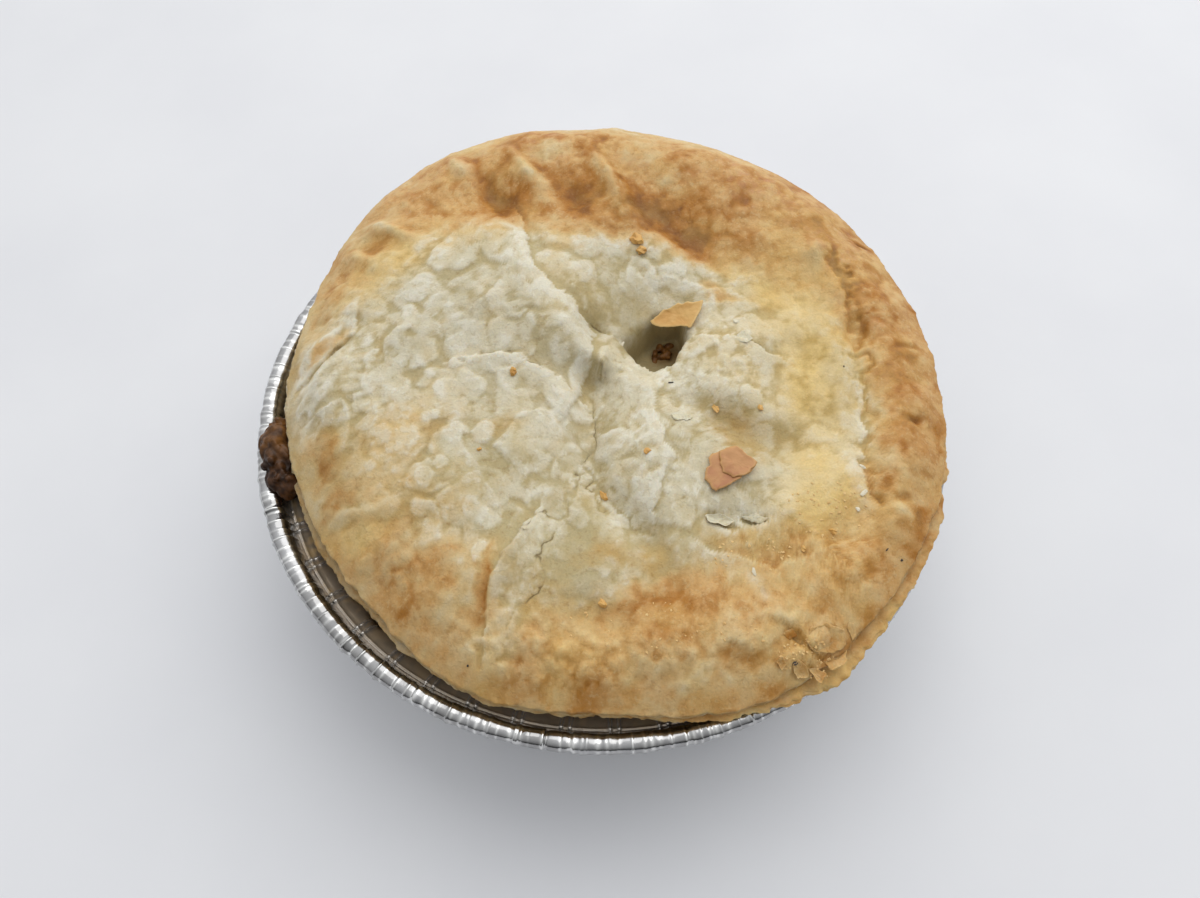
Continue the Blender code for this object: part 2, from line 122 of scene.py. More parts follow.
def angle_bump(theta, centre, spread):
    """1 at the centre angle, easing to 0 at spread to either side."""
    apart = np.abs(np.mod(theta - centre + math.pi, TURN) - math.pi)
    return 1 - smooth_step(0, spread, apart)


def path_distance(x, y, points):
    """Distance to the nearest point of a broken line, with the side: positive to the left of its run."""
    nearest = np.full(np.shape(x), np.inf)
    side = np.ones(np.shape(x))
    for (ax, ay), (bx, by) in zip(points, points[1:]):
        run_x, run_y = bx - ax, by - ay
        t = np.clip(((x - ax) * run_x + (y - ay) * run_y) / (run_x**2 + run_y**2), 0, 1)
        apart = np.hypot(x - ax - t * run_x, y - ay - t * run_y)
        cross = run_x * (y - ay) - run_y * (x - ax)
        side = np.where(apart < nearest, np.sign(cross), side)
        nearest = np.minimum(nearest, apart)
    return nearest, side


def outline_distance(x, y, corners):
    """Distance to a closed outline, negative inside, where a ray to +X crosses it an odd number of times."""
    closed = list(corners) + [corners[0]]
    apart, _ = path_distance(x, y, closed)
    crossings = np.zeros(np.shape(x), int)
    for (ax, ay), (bx, by) in zip(closed, closed[1:]):
        spans = (ay > y) != (by > y)
        level = np.where(by == ay, 1.0, by - ay)
        crossings += spans & (x < (bx - ax) * (y - ay) / level + ax)
    return np.where(crossings % 2 == 1, -apart, apart)


def ellipse(x, y, centre_x, centre_y, half_length, half_width, turn):
    """Distance from the centre in units of the ellipse's own half axes, turned by so many degrees. The
    ellipse is in millimetres, and x and y are in metres."""
    c, s = math.cos(math.radians(turn)), math.sin(math.radians(turn))
    away_x, away_y = x - centre_x * MM, y - centre_y * MM
    along = (away_x * c + away_y * s) / (half_length * MM)
    across = (away_y * c - away_x * s) / (half_width * MM)
    return np.hypot(along, across)


print("eased half way:", smooth_step(0, 1, np.array([0.25, 0.5, 0.75])))

# %% [markdown]
# Noise that comes out the same each time
#
# Pastry is uneven at every scale. Two kinds of noise are enough: value noise, which blends random numbers on
# a lattice, and cell noise, which measures how far the nearest of many scattered points is. Cells make
# blisters and flakes. Both read one small table of seeded random numbers.

# %% Helpers for noise
TABLE_SIZE = 256
RANDOM_TABLE = np.random.default_rng(3).random((TABLE_SIZE, TABLE_SIZE))
SEED_SHIFTS = (17.3, 41.7)
OCTAVE_TURN = 0.65
OCTAVE_STRENGTH = 0.55
FRACTAL_GAIN = 1.6


def table(row, column):
    """The random number of a lattice point. The table repeats in both directions."""
    return RANDOM_TABLE[row % TABLE_SIZE, column % TABLE_SIZE]


def value_noise(x, y, size, seed):
    """0 to 1: the four lattice numbers round a point, blended with eased weights."""
    u, v = x / size + SEED_SHIFTS[0] * seed, y / size + SEED_SHIFTS[1] * seed
    i, j = np.floor(u).astype(int), np.floor(v).astype(int)
    s, t = smooth_step(0, 1, u - i), smooth_step(0, 1, v - j)
    low = table(i, j) * (1 - s) + table(i + 1, j) * s
    high = table(i, j + 1) * (1 - s) + table(i + 1, j + 1) * s
    return low * (1 - t) + high * t


def fractal(x, y, size, octaves=4, seed=0):
    """About -1 to 1: noises of half the size and 0.55 the strength each, each turned against the last."""
    x, y = np.broadcast_arrays(x, y)
    total, strength, reach = np.zeros(x.shape), 1.0, 0.0
    for octave in range(octaves):
        c, s = math.cos(OCTAVE_TURN * octave), math.sin(OCTAVE_TURN * octave)
        noise = value_noise(x * c - y * s, x * s + y * c, size / 2**octave, seed + octave)
        total += strength * (2 * noise - 1)
        reach += strength
        strength *= OCTAVE_STRENGTH
    return FRACTAL_GAIN * total / reach


def two_noises(x, y, size, octaves, seed, seed_step=1):
    """Two unlike noises, which push a place about in x and in y."""
    return fractal(x, y, size, octaves, seed), fractal(x, y, size, octaves, seed + seed_step)


def scattered(u, v, seed):
    """Over the nine lattice squares round each place: the distance to the square's random point, in squares,
    and two random numbers that belong to the point. Each number is read from its own corner of the table."""
    i, j = np.floor(u).astype(int), np.floor(v).astype(int)
    for a in (-1, 0, 1):
        for b in (-1, 0, 1):
            row, column = i + a + 31 * seed, j + b + 57 * seed
            point_x = i + a + table(row, column)
            point_y = j + b + table(row + 101, column + 45)
            own, other = table(row + 7, column + 13), table(row + 53, column + 29)
            yield np.hypot(u - point_x, v - point_y), own, other


def warped(x, y, size, amount, seed):
    """Places in units of size, pushed about by noise of the same size."""
    x, y = np.broadcast_arrays(x, y)
    push_x, push_y = two_noises(x, y, 1.1 * size, 3, seed + 1)
    return x / size + amount * push_x, y / size + amount * push_y


def domes(x, y, size, seed, amount=0.35):
    """Cell noise: highest over the middle of each cell, easing to 0 at 0.75 of a square, uneven in height."""
    near, mark = 9.0, 0.0
    for apart, own, _ in scattered(*warped(x, y, size, amount, seed), seed):
        mark = np.where(apart < near, own, mark)
        near = np.minimum(near, apart)
    return (1 - smooth_step(0.0, 0.75, near)) * (0.35 + 0.65 * mark)


def shards(x, y, size, seed, amount=0.4):
    """Broken plates: each cell is level at its own height from -0.5 to 0.5, with a gap between cells."""
    near, second, mark = 9.0, 9.0, 0.0
    for apart, own, _ in scattered(*warped(1.25 * x, y, size, amount, seed), seed):
        closer = apart < near
        second = np.where(closer, near, np.minimum(second, apart))
        mark = np.where(closer, own, mark)
        near = np.where(closer, apart, near)
    return (mark - 0.5) * smooth_step(0.0, 0.22, second - near)


def skins(x, y, size, seed, amount=0.30, rim=0.09):
    """Overlapping round flakes: each point carries a disc at its own height, and the highest one shows."""
    top = 0.0
    for apart, own, other in scattered(*warped(x, y, size, amount, seed), seed):
        radius = 0.45 + 0.45 * other
        top = np.maximum(top, own * smooth_step(radius + rim, radius - rim, apart) * (1.1 - 0.25 * apart))
    return top


probe = np.linspace(0, 50 * MM, 500)
probe_noise = fractal(probe, probe, 5 * MM)
print("fractal noise spans", probe_noise.min().round(2), "to", probe_noise.max().round(2))

# %% [markdown]
# Putting arrays into meshes
#
# A grid of points becomes quads by joining each point to its neighbours. One helper does it for grids that
# close round on themselves, one makes the object, and attributes carry masks from numpy to the materials.


# %% Helpers for meshes
def ring_quads(rows, columns, first=0):
    """Quads of a grid whose columns close into rings, wound so that a grid that runs downwards faces out."""
    index = first + np.arange(rows * columns).reshape(rows, columns)
    upper, lower = index[:-1], index[1:]
    return np.stack([upper, lower, np.roll(lower, -1, 1), np.roll(upper, -1, 1)], -1).reshape(-1, 4)


def fan(ring, pole):
    """Triangles from a ring's points, in its order, to one pole."""
    return np.stack([ring, np.roll(ring, -1), np.full(len(ring), pole)], -1)


def mesh_object(name, points, *face_sets):
    """An object at the origin whose mesh holds these points and faces, shaded smooth."""
    mesh = bpy.data.meshes.new(name)
    faces = [face for face_set in face_sets for face in face_set.tolist()]
    mesh.from_pydata(points.reshape(-1, 3).tolist(), [], faces)
    mesh.shade_smooth()
    made = bpy.data.objects.new(name, mesh)
    bpy.context.scene.collection.objects.link(made)
    triangles = sum(len(face_set) * (len(face_set[0]) - 2) for face_set in face_sets)
    print(f"{name}: {len(points.reshape(-1, 3))} points, {triangles} triangles")
    return made


def repeated(faces, copies, points_each):
    """One shape's faces for each of its copies, whose points follow those of the copy before."""
    shifts = (np.arange(copies) * points_each)[:, None, None]
    return (faces[None] + shifts).reshape(-1, faces.shape[1])


def point_values(mesh, name):
    """One vector for each point of a mesh, such as its place or its normal."""
    values = np.empty(len(mesh.vertices) * 3)
    mesh.vertices.foreach_get(name, values)
    return values.reshape(-1, 3)


def best_plane(x, y, z):
    """Slopes and height of the plane that fits these points best, by least squares."""
    plane, _, _, _ = np.linalg.lstsq(np.c_[x, y, np.ones(len(x))], z, rcond=None)
    return plane


def give_mask(made, name, values):
    """One number for each point, which a material reads by name."""
    attribute = made.data.attributes.new(name, "FLOAT", "POINT")
    attribute.data.foreach_set("value", np.ascontiguousarray(values, np.float32).ravel())


def polar(radius, theta, height):
    """Points at a radius, an angle and a height, which are arrays or numbers of one shape."""
    radius, theta, height = np.broadcast_arrays(radius, theta, height)
    return np.stack([radius * np.cos(theta), radius * np.sin(theta), height], -1)


# %% [markdown]
# Measures of the pie
#
# These repeat the driving sizes of the solids, so that the dressed surfaces lie where the solids are. The
# crust's outline and heights are read from values round the circle, starting at +X.

# %% Sizes shared with the solids
OUTLINE_RADII = (
    0.0572, 0.0575, 0.0591, 0.0599, 0.0611, 0.0626, 0.0603, 0.0560,
    0.0545, 0.0528, 0.0526, 0.0556, 0.0557, 0.0599, 0.0597, 0.0587,
)
EDGE_HEIGHTS = (0.0352, 0.0356, 0.0364, 0.0361, 0.0338, 0.0326, 0.0332, 0.0346)
SHOULDER_RISES = (0.0040, 0.0048, 0.0060, 0.0058, 0.0042, 0.0046, 0.0044, 0.0040)
LID_INSETS = (0.0004, 0.0003, 0.0003, 0.0003, 0.0000, 0.0000, 0.0008, 0.0020)
FLANGE_OUTSETS = (0.0000, 0.0000, 0.0000, 0.0000, 0.0010, 0.0004, -0.0006, 0.0000)
SHRINK_GAPS = (0.0000, 0.0000, 0.0000, 0.0002, 0.0012, 0.0042, 0.0034, 0.0000)
MEAN_RADIUS = 57 * MM
SHOULDER_POWER = 9.0
RELIEF_ENDS = 0.86
CORNER = (math.radians(303), math.radians(8), 0.0014)
TIN_HEIGHT = 0.0302
TIN_LIP_RADIUS = 0.0600
TIN_BASE_RADIUS = 0.0455
TIN_WALL_TOP_RADIUS = 0.0539
TIN_LEDGE_HEIGHT = 0.0256
TIN_FOIL = 0.0008
TIN_FLUTE_DEPTH = 0.0004
TIN_FLUTES = 48
TIN_BENDS = (
    (math.radians(20), math.radians(80), -0.0014),
    (math.radians(175), math.radians(45), 0.0007),
)
print("the tin's lip is", round(2 * TIN_LIP_RADIUS / MM), "mm across")

# %% Mounds, valleys and ridges shared with the solids
# Mounds: name, x, y, half axes in mm, turn in degrees, rise in mm, and how steeply the edge falls.
LID_MOUNDS = (
    ("left_lobe", -26.0, 2.0, 27.0, 25.0, 80, 3.0, 4),
    ("lower_left_pillow", -27.0, -30.0, 18.0, 12.0, 150, 1.4, 2),
    ("slip_by_the_crack", -13.0, -34.0, 8.0, 6.0, 80, 0.7, 4),
    ("right_block", 8.0, -14.0, 12.0, 8.0, 80, 1.8, 2),
    ("vent_shoulder", 21.0, 3.0, 10.0, 6.5, 10, 1.7, 2),
    ("knoll_by_the_valley", 21.0, -6.0, 6.0, 4.5, -20, 1.1, 2),
    ("upper_right_plateau", 29.0, 33.0, 17.0, 12.0, -48, 2.0, 4),
    ("front_pillow", 5.0, -47.0, 26.0, 8.0, 0, 1.2, 2),
    ("front_right_pillow", 20.0, -44.0, 9.0, 6.0, -20, 0.8, 2),
    ("right_band_upper", 46.0, 11.0, 13.0, 6.0, 95, 1.2, 2),
    ("right_band_lower", 47.0, -20.0, 12.0, 6.0, 72, 1.4, 2),
    ("back_fold_ridge", 2.0, 41.5, 7.5, 2.2, -66, 1.3, 2),
    ("left_fold_ridge", -40.0, 31.2, 7.5, 2.5, -28, 1.2, 2),
    ("left_pinch_ridge", -46.5, 1.0, 6.0, 2.5, 35, 0.8, 2),
    ("curled_plate", 28.5, -48.5, 4.0, 2.2, 40, 1.1, 4),
    ("vent_basin", 6.8, 7.2, 11.0, 10.0, 20, -4.4, 2),
    ("basin_tail", 3.5, 18.0, 10.0, 6.0, 80, -1.6, 2),
    ("yellow_plain", 33.0, -6.0, 13.0, 7.0, 85, -0.9, 2),
    ("vent_lip_front", 3.0, 0.0, 8.0, 3.0, -38, 0.9, 2),
    ("flaky_pit", 26.2, -46.8, 3.0, 2.2, -30, -1.3, 2),
    ("slot_by_the_flake", 19.5, -27.5, 5.0, 1.8, -5, -1.0, 2),
    ("back_left_slope", -19.0, 37.0, 9.0, 6.0, -40, -1.2, 2),
    ("back_right_slope", 18.0, 28.0, 10.0, 5.0, -50, -1.4, 2),
)
# Valleys: a path, its half width and its depth, all in mm.
LID_VALLEYS = (
    (((-1.5, 8.6), (-2.8, -13.8), (-2.2, -21.2), (6.1, -30.0)), 2.8, 2.2),
    (((14.0, -7.5), (21.0, -11.5), (29.0, -15.2)), 3.0, 1.6),
    (((42.9, 6.0), (41.8, -10.0), (41.2, -24.0), (36.2, -31.8)), 2.6, 1.3),
    (((-13.3, -37.9), (0.9, -43.7), (9.0, -40.0)), 2.8, 0.7),
    (((-50.5, 1.5), (-46.5, 4.9), (-42.1, 10.0)), 2.0, 0.9),
    (((-13.7, 29.7), (-6.8, 14.3), (-1.3, 8.6)), 2.0, 0.9),
)
# Ridges: middle angle, spread to either side, share of the radius, and rise.
RIM_RIDGES = (
    (math.radians(85), math.radians(75), 0.83, 0.0016),
    (math.radians(-5), math.radians(60), 0.87, 0.0011),
)
RIM_RIDGE_WIDTH = 0.09
PUCKER_COUNT = 26
PUCKER_HEIGHT = 0.00035
PUCKER_RING = 0.93
PUCKER_BAND = 0.06
BLISTER_COUNT = 46
BLISTER_REACH = 0.047
BLISTER_RADII = (0.0026, 0.0050)
BLISTER_RISES = (0.0003, 0.0008)
VENT_CORNERS = (
    (0.0022, 0.0074), (0.0089, 0.0010), (0.0114, 0.0021),
    (0.0142, 0.0066), (0.0140, 0.0120), (0.0094, 0.0118),
)
print(len(LID_MOUNDS), "mounds and", len(LID_VALLEYS), "valleys")


# %% Height of the lid
def in_metres(points):
    """A path given in millimetres, in metres."""
    return [(x * MM, y * MM) for x, y in points]


def lid_radius(theta):
    """Radius of the lid's own edge."""
    return around(theta, OUTLINE_RADII) - around(theta, LID_INSETS)


def blisters(x, y):
    """Round blisters at seeded places, each a height times exp(-(distance / radius)^2)."""
    draw = np.random.default_rng(7)
    height = np.zeros(np.shape(x))
    for _ in range(BLISTER_COUNT):
        turn, reach = draw.uniform(0, TURN), BLISTER_REACH * math.sqrt(draw.uniform(0, 1))
        radius, rise = draw.uniform(*BLISTER_RADII), draw.uniform(*BLISTER_RISES)
        away = np.hypot(x - reach * math.cos(turn), y - reach * math.sin(turn)) / radius
        height += rise * np.exp(-(away**2))
    return height


def broad_relief(x, y):
    """Blisters, mounds and valleys of the lid, as the solid has them."""
    height = blisters(x, y)
    for _, *shape, rise, power in LID_MOUNDS:
        height += rise * MM * np.exp(-(ellipse(x, y, *shape) ** power))
    for points, half_width, depth in LID_VALLEYS:
        apart, _ = path_distance(x, y, in_metres(points))
        height -= depth * MM * np.exp(-((apart / (half_width * MM)) ** 2))
    return height


def broad_height(x, y):
    """Height of the lid's top: its edge, a steep round shoulder, the rim's ridges and the broad relief."""
    theta = np.arctan2(y, x)
    share = np.clip(np.hypot(x, y) / lid_radius(theta), 0, 1)
    shoulder = around(theta, SHOULDER_RISES) * (1 - share**SHOULDER_POWER)
    relief = broad_relief(x, y) * (1 - smooth_step(RELIEF_ENDS, 1.0, share))
    for centre, spread, ring, rise in RIM_RIDGES:
        across = (share - ring) / RIM_RIDGE_WIDTH
        relief = relief + rise * angle_bump(theta, centre, spread) * np.exp(-(across**2))
    pucker = PUCKER_HEIGHT * np.sin(PUCKER_COUNT * theta + 3 * np.sin(2 * theta))
    relief = relief + pucker * np.exp(-(((share - PUCKER_RING) / PUCKER_BAND) ** 2))
    return around(theta, EDGE_HEIGHTS) + shoulder + relief


print("lid's middle is at", round(float(broad_height(np.array([0.0]), np.array([0.0]))[0]) / MM, 2), "mm")

# %% [markdown]
# Where the oven browned it
#
# The colour of a crust is a map of where it got hottest: the puffed rim browns first, the middle stays cream
# over the wet filling. The map is a threshold that runs round the rim, made uneven by noise, with named
# patches on top; a few of them also paint shade on the slopes at the back. The same maps also steer the
# relief, because browned pastry is smoother than pale pastry.

# %% Browning round the rim and in patches
# Sixteen values round the circle, from +X: the share of the radius where brown starts, how softly it starts,
# how dark it gets, and how dark the very rim is.
BROWN_FROM = (0.80, 0.64, 0.53, 0.47, 0.48, 0.51, 0.62, 0.76, 0.93, 0.76, 0.71, 0.74, 0.74, 0.66, 0.74, 0.80)
BROWN_SOFT = (0.06, 0.09, 0.10, 0.09, 0.08, 0.08, 0.10, 0.12, 0.14, 0.24, 0.28, 0.20, 0.10, 0.09, 0.11, 0.08)
BROWN_DEPTH = (0.66, 0.66, 0.62, 0.62, 0.70, 0.66, 0.50, 0.36, 0.16, 0.34, 0.40, 0.40, 0.42, 0.44, 0.53, 0.64)
BROWN_RIM = (0.60, 0.60, 0.56, 0.42, 0.30, 0.34, 0.46, 0.36, 0.18, 0.32, 0.40, 0.40, 0.44, 0.42, 0.54, 0.62)
BROWN_UNEVEN = 0.045
OUTER_RIM = (0.84, 0.96)
PATCH_STRENGTH = 0.9
PALE_UNTIL = (0.12, 0.45)
# Patches: name, x, y, half axes in mm, turn in degrees, and the browning that they draw towards.
BROWN_PATCHES = (
    # The shaded slopes and valley at the back are browning and painted shade: they slope down towards the
    # front, away from the light.
    ("brown_shaded_slope_left", -17.6, 35.6, 6.0, 4.4, -40, 0.98),
    ("brown_shaded_slope_middle", -3.6, 35.2, 4.2, 4.0, 0, 0.88),
    ("amber_slope_far_left", -30.1, 35.4, 2.4, 2.0, 0, 0.66),
    ("pale_crown_left", -22.5, 47.4, 4.0, 2.4, 15, 0.34),
    ("pale_crown_middle", -9.0, 47.2, 5.2, 3.0, 0, 0.20),
    ("pale_crown_right", 8.0, 48.0, 7.0, 3.0, -10, 0.36),
    ("brown_shaded_valley", 8.2, 31.0, 3.6, 2.2, 0, 0.80),
    ("dark_spot_by_the_rim", -23.3, 46.7, 2.8, 2.2, 0, 0.75),
    ("freckled_back", 20.5, 40.8, 4.0, 2.6, -20, 0.60),
    ("pinkish_back", 12.5, 38.4, 5.0, 3.7, 0, 0.52),
    ("amber_back_left", -28.4, 34.2, 4.4, 2.7, 20, 0.62),
    ("amber_upper_left", -39.2, 26.0, 5.2, 2.4, 30, 0.62),
    ("amber_left", -47.0, 20.9, 1.8, 5.0, -15, 0.52),
    ("pale_upper_left_ridge", -37.5, 29.4, 4.2, 0.9, -38, 0.22),
    ("pale_back_rim", -8.4, 49.8, 3.4, 2.2, 0, 0.26),
    ("pale_fold_a", -25.4, 44.3, 4.0, 1.8, -60, 0.34),
    ("pale_fold_b", -12.6, 41.6, 6.4, 1.8, -62, 0.32),
    ("pale_back_ridge", 2.6, 38.4, 7.4, 1.7, -66, 0.32),
    ("yellowish_upper_left", -35.0, 21.9, 3.4, 2.2, 20, 0.30),
    ("pale_bump_right", 37.9, 20.6, 3.6, 4.4, 20, 0.34),
    ("brown_by_the_bump", 35.0, 29.0, 3.4, 2.4, -40, 0.66),
    ("brown_wrinkle_right", 48.5, 27.5, 2.6, 1.2, -10, 0.90),
    ("back_right_rim", 36.5, 49.0, 4.6, 1.8, -38, 0.78),
    ("right_upper_rim", 47.2, 32.1, 3.4, 3.0, 0, 0.74),
    ("right_rim_pale", 46.8, 9.0, 2.6, 2.4, 0, 0.48),
    ("right_rim_brown", 49.6, 2.7, 2.0, 3.2, 0, 0.84),
    ("right_rim_dent", 47.9, -12.0, 3.4, 1.3, 10, 0.88),
    ("right_rim_streak", 45.3, -27.6, 2.3, 0.9, -20, 0.28),
    ("right_rim_purple", 49.0, -27.1, 1.6, 1.8, 0, 0.90),
    ("lower_right_rim", 41.0, -32.0, 4.2, 4.4, 40, 0.54),
    ("flaky_lower_right", 28.8, -31.5, 5.4, 4.1, -20, 0.44),
    ("slot_zone", 19.8, -31.1, 5.6, 2.0, -5, 0.44),
    ("left_mottle_a", -45.6, -14.4, 3.2, 4.0, 0, 0.54),
    ("left_mottle_b", -41.9, -21.4, 3.4, 2.0, 10, 0.60),
    ("left_mottle_c", -37.0, -13.6, 2.6, 2.4, 0, 0.30),
    ("left_mottle_d", -33.0, -19.5, 5.0, 1.8, -25, 0.26),
    ("pale_lump_edge", -38.8, -24.6, 5.0, 1.2, 5, 0.16),
    ("pale_lump", -38.6, -28.0, 4.2, 2.6, 0, 0.28),
    ("reddish_patch", -25.6, -33.5, 4.4, 3.8, 0, 0.64),
    ("amber_lower_left", -32.0, -37.0, 4.4, 2.8, -20, 0.68),
    ("green_plate", -14.4, -38.0, 2.4, 6.0, -8, 0.08),
    ("pale_low_left", -24.0, -41.0, 4.0, 1.6, -25, 0.34),
    ("bottom_lumps", -17.0, -46.6, 5.0, 2.8, -15, 0.20),
    ("bottom_orange", -6.7, -49.6, 5.4, 3.6, 0, 0.62),
    ("orange_patch", 9.4, -40.6, 10.2, 4.8, 14, 0.76),
    ("pale_plate", 19.8, -36.4, 3.6, 2.4, -30, 0.32),
    ("pale_smooth_front", 19.3, -45.0, 7.1, 3.6, -10, 0.38),
    ("pale_front_lumps", 10.4, -49.0, 5.0, 1.8, 0, 0.34),
    ("broken_corner", 28.6, -49.2, 3.4, 3.2, 0, 0.60),
    ("olive_valley", 21.4, -12.6, 7.6, 3.8, -38, 0.22),
    ("tan_left_low", -33.0, -12.0, 9.0, 5.0, 20, 0.26),
    ("right_low_gold", 38.0, -25.0, 3.0, 4.2, 0, 0.46),
    ("orange_patch_left", 0.4, -44.4, 4.0, 2.4, 0, 0.58),
    ("low_green_tan", 3.0, -33.4, 8.0, 2.8, 0, 0.24),
    ("corner_amber_pit", 26.6, -46.4, 1.3, 1.6, -30, 0.90),
    ("corner_pale_plate", 31.0, -46.2, 3.2, 2.2, 10, 0.46),
    ("purple_by_the_corner", 38.0, -42.6, 1.6, 1.2, 40, 0.95),
    ("bottom_gold_left", -7.6, -50.6, 5.0, 2.2, 0, 0.58),
    ("bottom_pale_right", 12.2, -51.4, 5.0, 1.8, 0, 0.30),
    ("tan_hollow_centre", -17.0, -11.0, 4.0, 2.6, 20, 0.16),
    ("cream_back_bay", -6.8, 25.5, 4.3, 1.6, 0, 0.12),
    ("gold_by_the_vent", 20.8, 14.6, 3.4, 1.8, -30, 0.44),
    ("pale_gold_right", 29.4, 13.1, 3.4, 2.8, 0, 0.32),
    ("brown_shaded_slope_right", 14.2, 29.4, 11.6, 3.9, -46, 1.00),
    ("seam_shadow", -19.0, -37.4, 1.5, 6.6, -12, 0.66),
    ("golden_crease", -46.8, 6.6, 5.4, 1.3, 42, 0.42),
)
RIM_GROOVE = (
    (41.4, -25.1), (41.6, -21.5), (40.9, -16.6), (42.6, -13.8), (42.8, -5.4), (43.6, 0.5), (43.9, 9.3),
    (42.8, 16.6), (41.0, 22.4),
)
print(len(BROWN_PATCHES), "patches of browning")

# %% Spots of yellow, of olive, damp and flour with painted shade and light, and of broken layers
# Spots: x, y, half axes in mm, turn in degrees, and amount.
YELLOW_SPOTS = (
    (34.6, -3.0, 20.0, 8.0, 87, 1.0),
    (31.0, -26.0, 9.0, 6.0, 30, 0.6),
    (28.0, 16.0, 9.0, 5.0, -40, 0.5),
    (-37.0, 20.5, 9.0, 5.0, 50, 0.7),
    (-38.0, -28.0, 5.0, 3.0, 0, 0.5),
    (21.0, -1.0, 6.0, 8.0, 0, 0.35),
    (-2.0, -49.5, 24.0, 5.5, 0, 0.18),
    (27.0, -44.0, 12.0, 7.0, 35, 0.24),
)
# Olive spots are damp paste; the first, in the valley right of the middle, and the fifth, by the vent, also
# paint the shade of those hollows.
OLIVE_AND_SHADE_SPOTS = (
    (21.4, -12.0, 7.6, 3.8, -38, 1.0),
    (-15.0, -33.0, 2.2, 6.0, -10, 0.8),
    (-2.0, -12.0, 1.6, 14.0, 0, 0.45),
    (-6.0, -41.0, 12.0, 2.6, -14, 0.5),
    (3.0, 13.0, 6.0, 6.0, 0, 0.6),
    (6.0, -33.0, 9.0, 4.0, 0, 0.8),
    (-22.0, -20.0, 14.0, 6.0, 30, 0.45),
    (-30.0, 4.0, 6.0, 4.0, 20, 0.3),
    (-7.0, -34.0, 7.0, 6.0, 0, 0.9),
    (-4.4, -23.4, 5.0, 5.0, 0, 0.5),
    (-44.0, -15.0, 5.0, 8.0, 0, 0.7),
    (23.0, -32.0, 8.0, 4.0, 0, 0.5),
    (-26.0, -38.0, 8.0, 4.0, -30, 0.4),
)
# Damp spots are gravy soaked into the pastry, and painted shade: the first paints the shade on the slope into
# the vent.
DAMP_AND_SHADE_SPOTS = (
    (4.2, 11.6, 5.2, 4.6, 40, 0.50),
    (7.0, -30.4, 2.6, 1.6, -20, 0.35),
)
# Flour spots are powder, but the second, at the left edge, is painted light: a paler colour there stands in
# for light on the left side.
FLOUR_AND_LIGHT_SPOTS = (
    (-6.0, -10.0, 2.2, 9.0, 0, 0.45),
    (-49.0, -2.0, 4.0, 7.0, 5, 0.95),
    (12.6, -1.6, 4.0, 1.4, -10, 0.9),
    (18.6, -4.4, 3.0, 1.4, -20, 0.7),
    (9.0, -15.0, 2.5, 7.0, 10, 0.45),
    (39.2, -21.0, 1.3, 5.0, 5, 0.65),
    (-7.0, -9.0, 5.0, 8.0, 0, 0.4),
    (-20.0, 3.0, 9.0, 7.0, 0, 0.35),
    (41.4, -4.0, 0.9, 5.0, 0, 0.15),
    (-12.0, -31.0, 2.0, 3.0, 10, 0.4),
    (9.3, 17.0, 1.2, 2.4, 20, 0.8),
    (21.6, -38.6, 0.8, 2.6, 35, 0.8),
)
FLAKY_SPOTS = (
    (40.0, -22.0, 3.0, 6.0, 10, 0.7),
    (41.5, -3.0, 2.2, 8.0, 0, 0.2),
    (28.0, -32.0, 9.0, 6.0, -20, 0.9),
    (18.0, 0.0, 9.0, 6.0, 10, 0.6),
    (8.0, -14.0, 6.0, 10.0, 10, 0.5),
    (28.5, -48.0, 6.0, 4.0, 20, 1.0),
    (-14.0, -36.0, 4.0, 8.0, 10, 0.5),
    (18.0, -42.0, 12.0, 6.0, -15, 0.45),
    (36.0, -36.0, 7.0, 6.0, 0, 0.45),
    (-5.0, -49.5, 9.0, 3.0, 0, 0.35),
)
print("yellow, olive and floury spots:", len(YELLOW_SPOTS), len(OLIVE_AND_SHADE_SPOTS), len(FLOUR_AND_LIGHT_SPOTS))


# %% Read the maps at any place
def spots(x, y, rows):
    """Sum of soft elliptical patches: x, y, half axes in mm, turn in degrees and amount."""
    total = np.zeros(np.shape(x))
    for *shape, amount in rows:
        total += amount * np.exp(-(ellipse(x, y, *shape) ** 2))
    return total


def patched(values, x, y, rows):
    """Values drawn towards each row's own level by up to nine tenths, most in the middle of its ellipse."""
    for _, *shape, level in rows:
        values = values + PATCH_STRENGTH * np.exp(-(ellipse(x, y, *shape) ** 3)) * (level - values)
    return values


def rim_share(x, y):
    """How far out a point is, from 0 in the middle to 1 at the lid's edge, and its angle."""
    theta = np.arctan2(y, x)
    return np.hypot(x, y) / lid_radius(theta), theta


def paleness(brown):
    """1 on cream pastry to 0 on gold and darker."""
    return 1 - smooth_step(*PALE_UNTIL, brown)


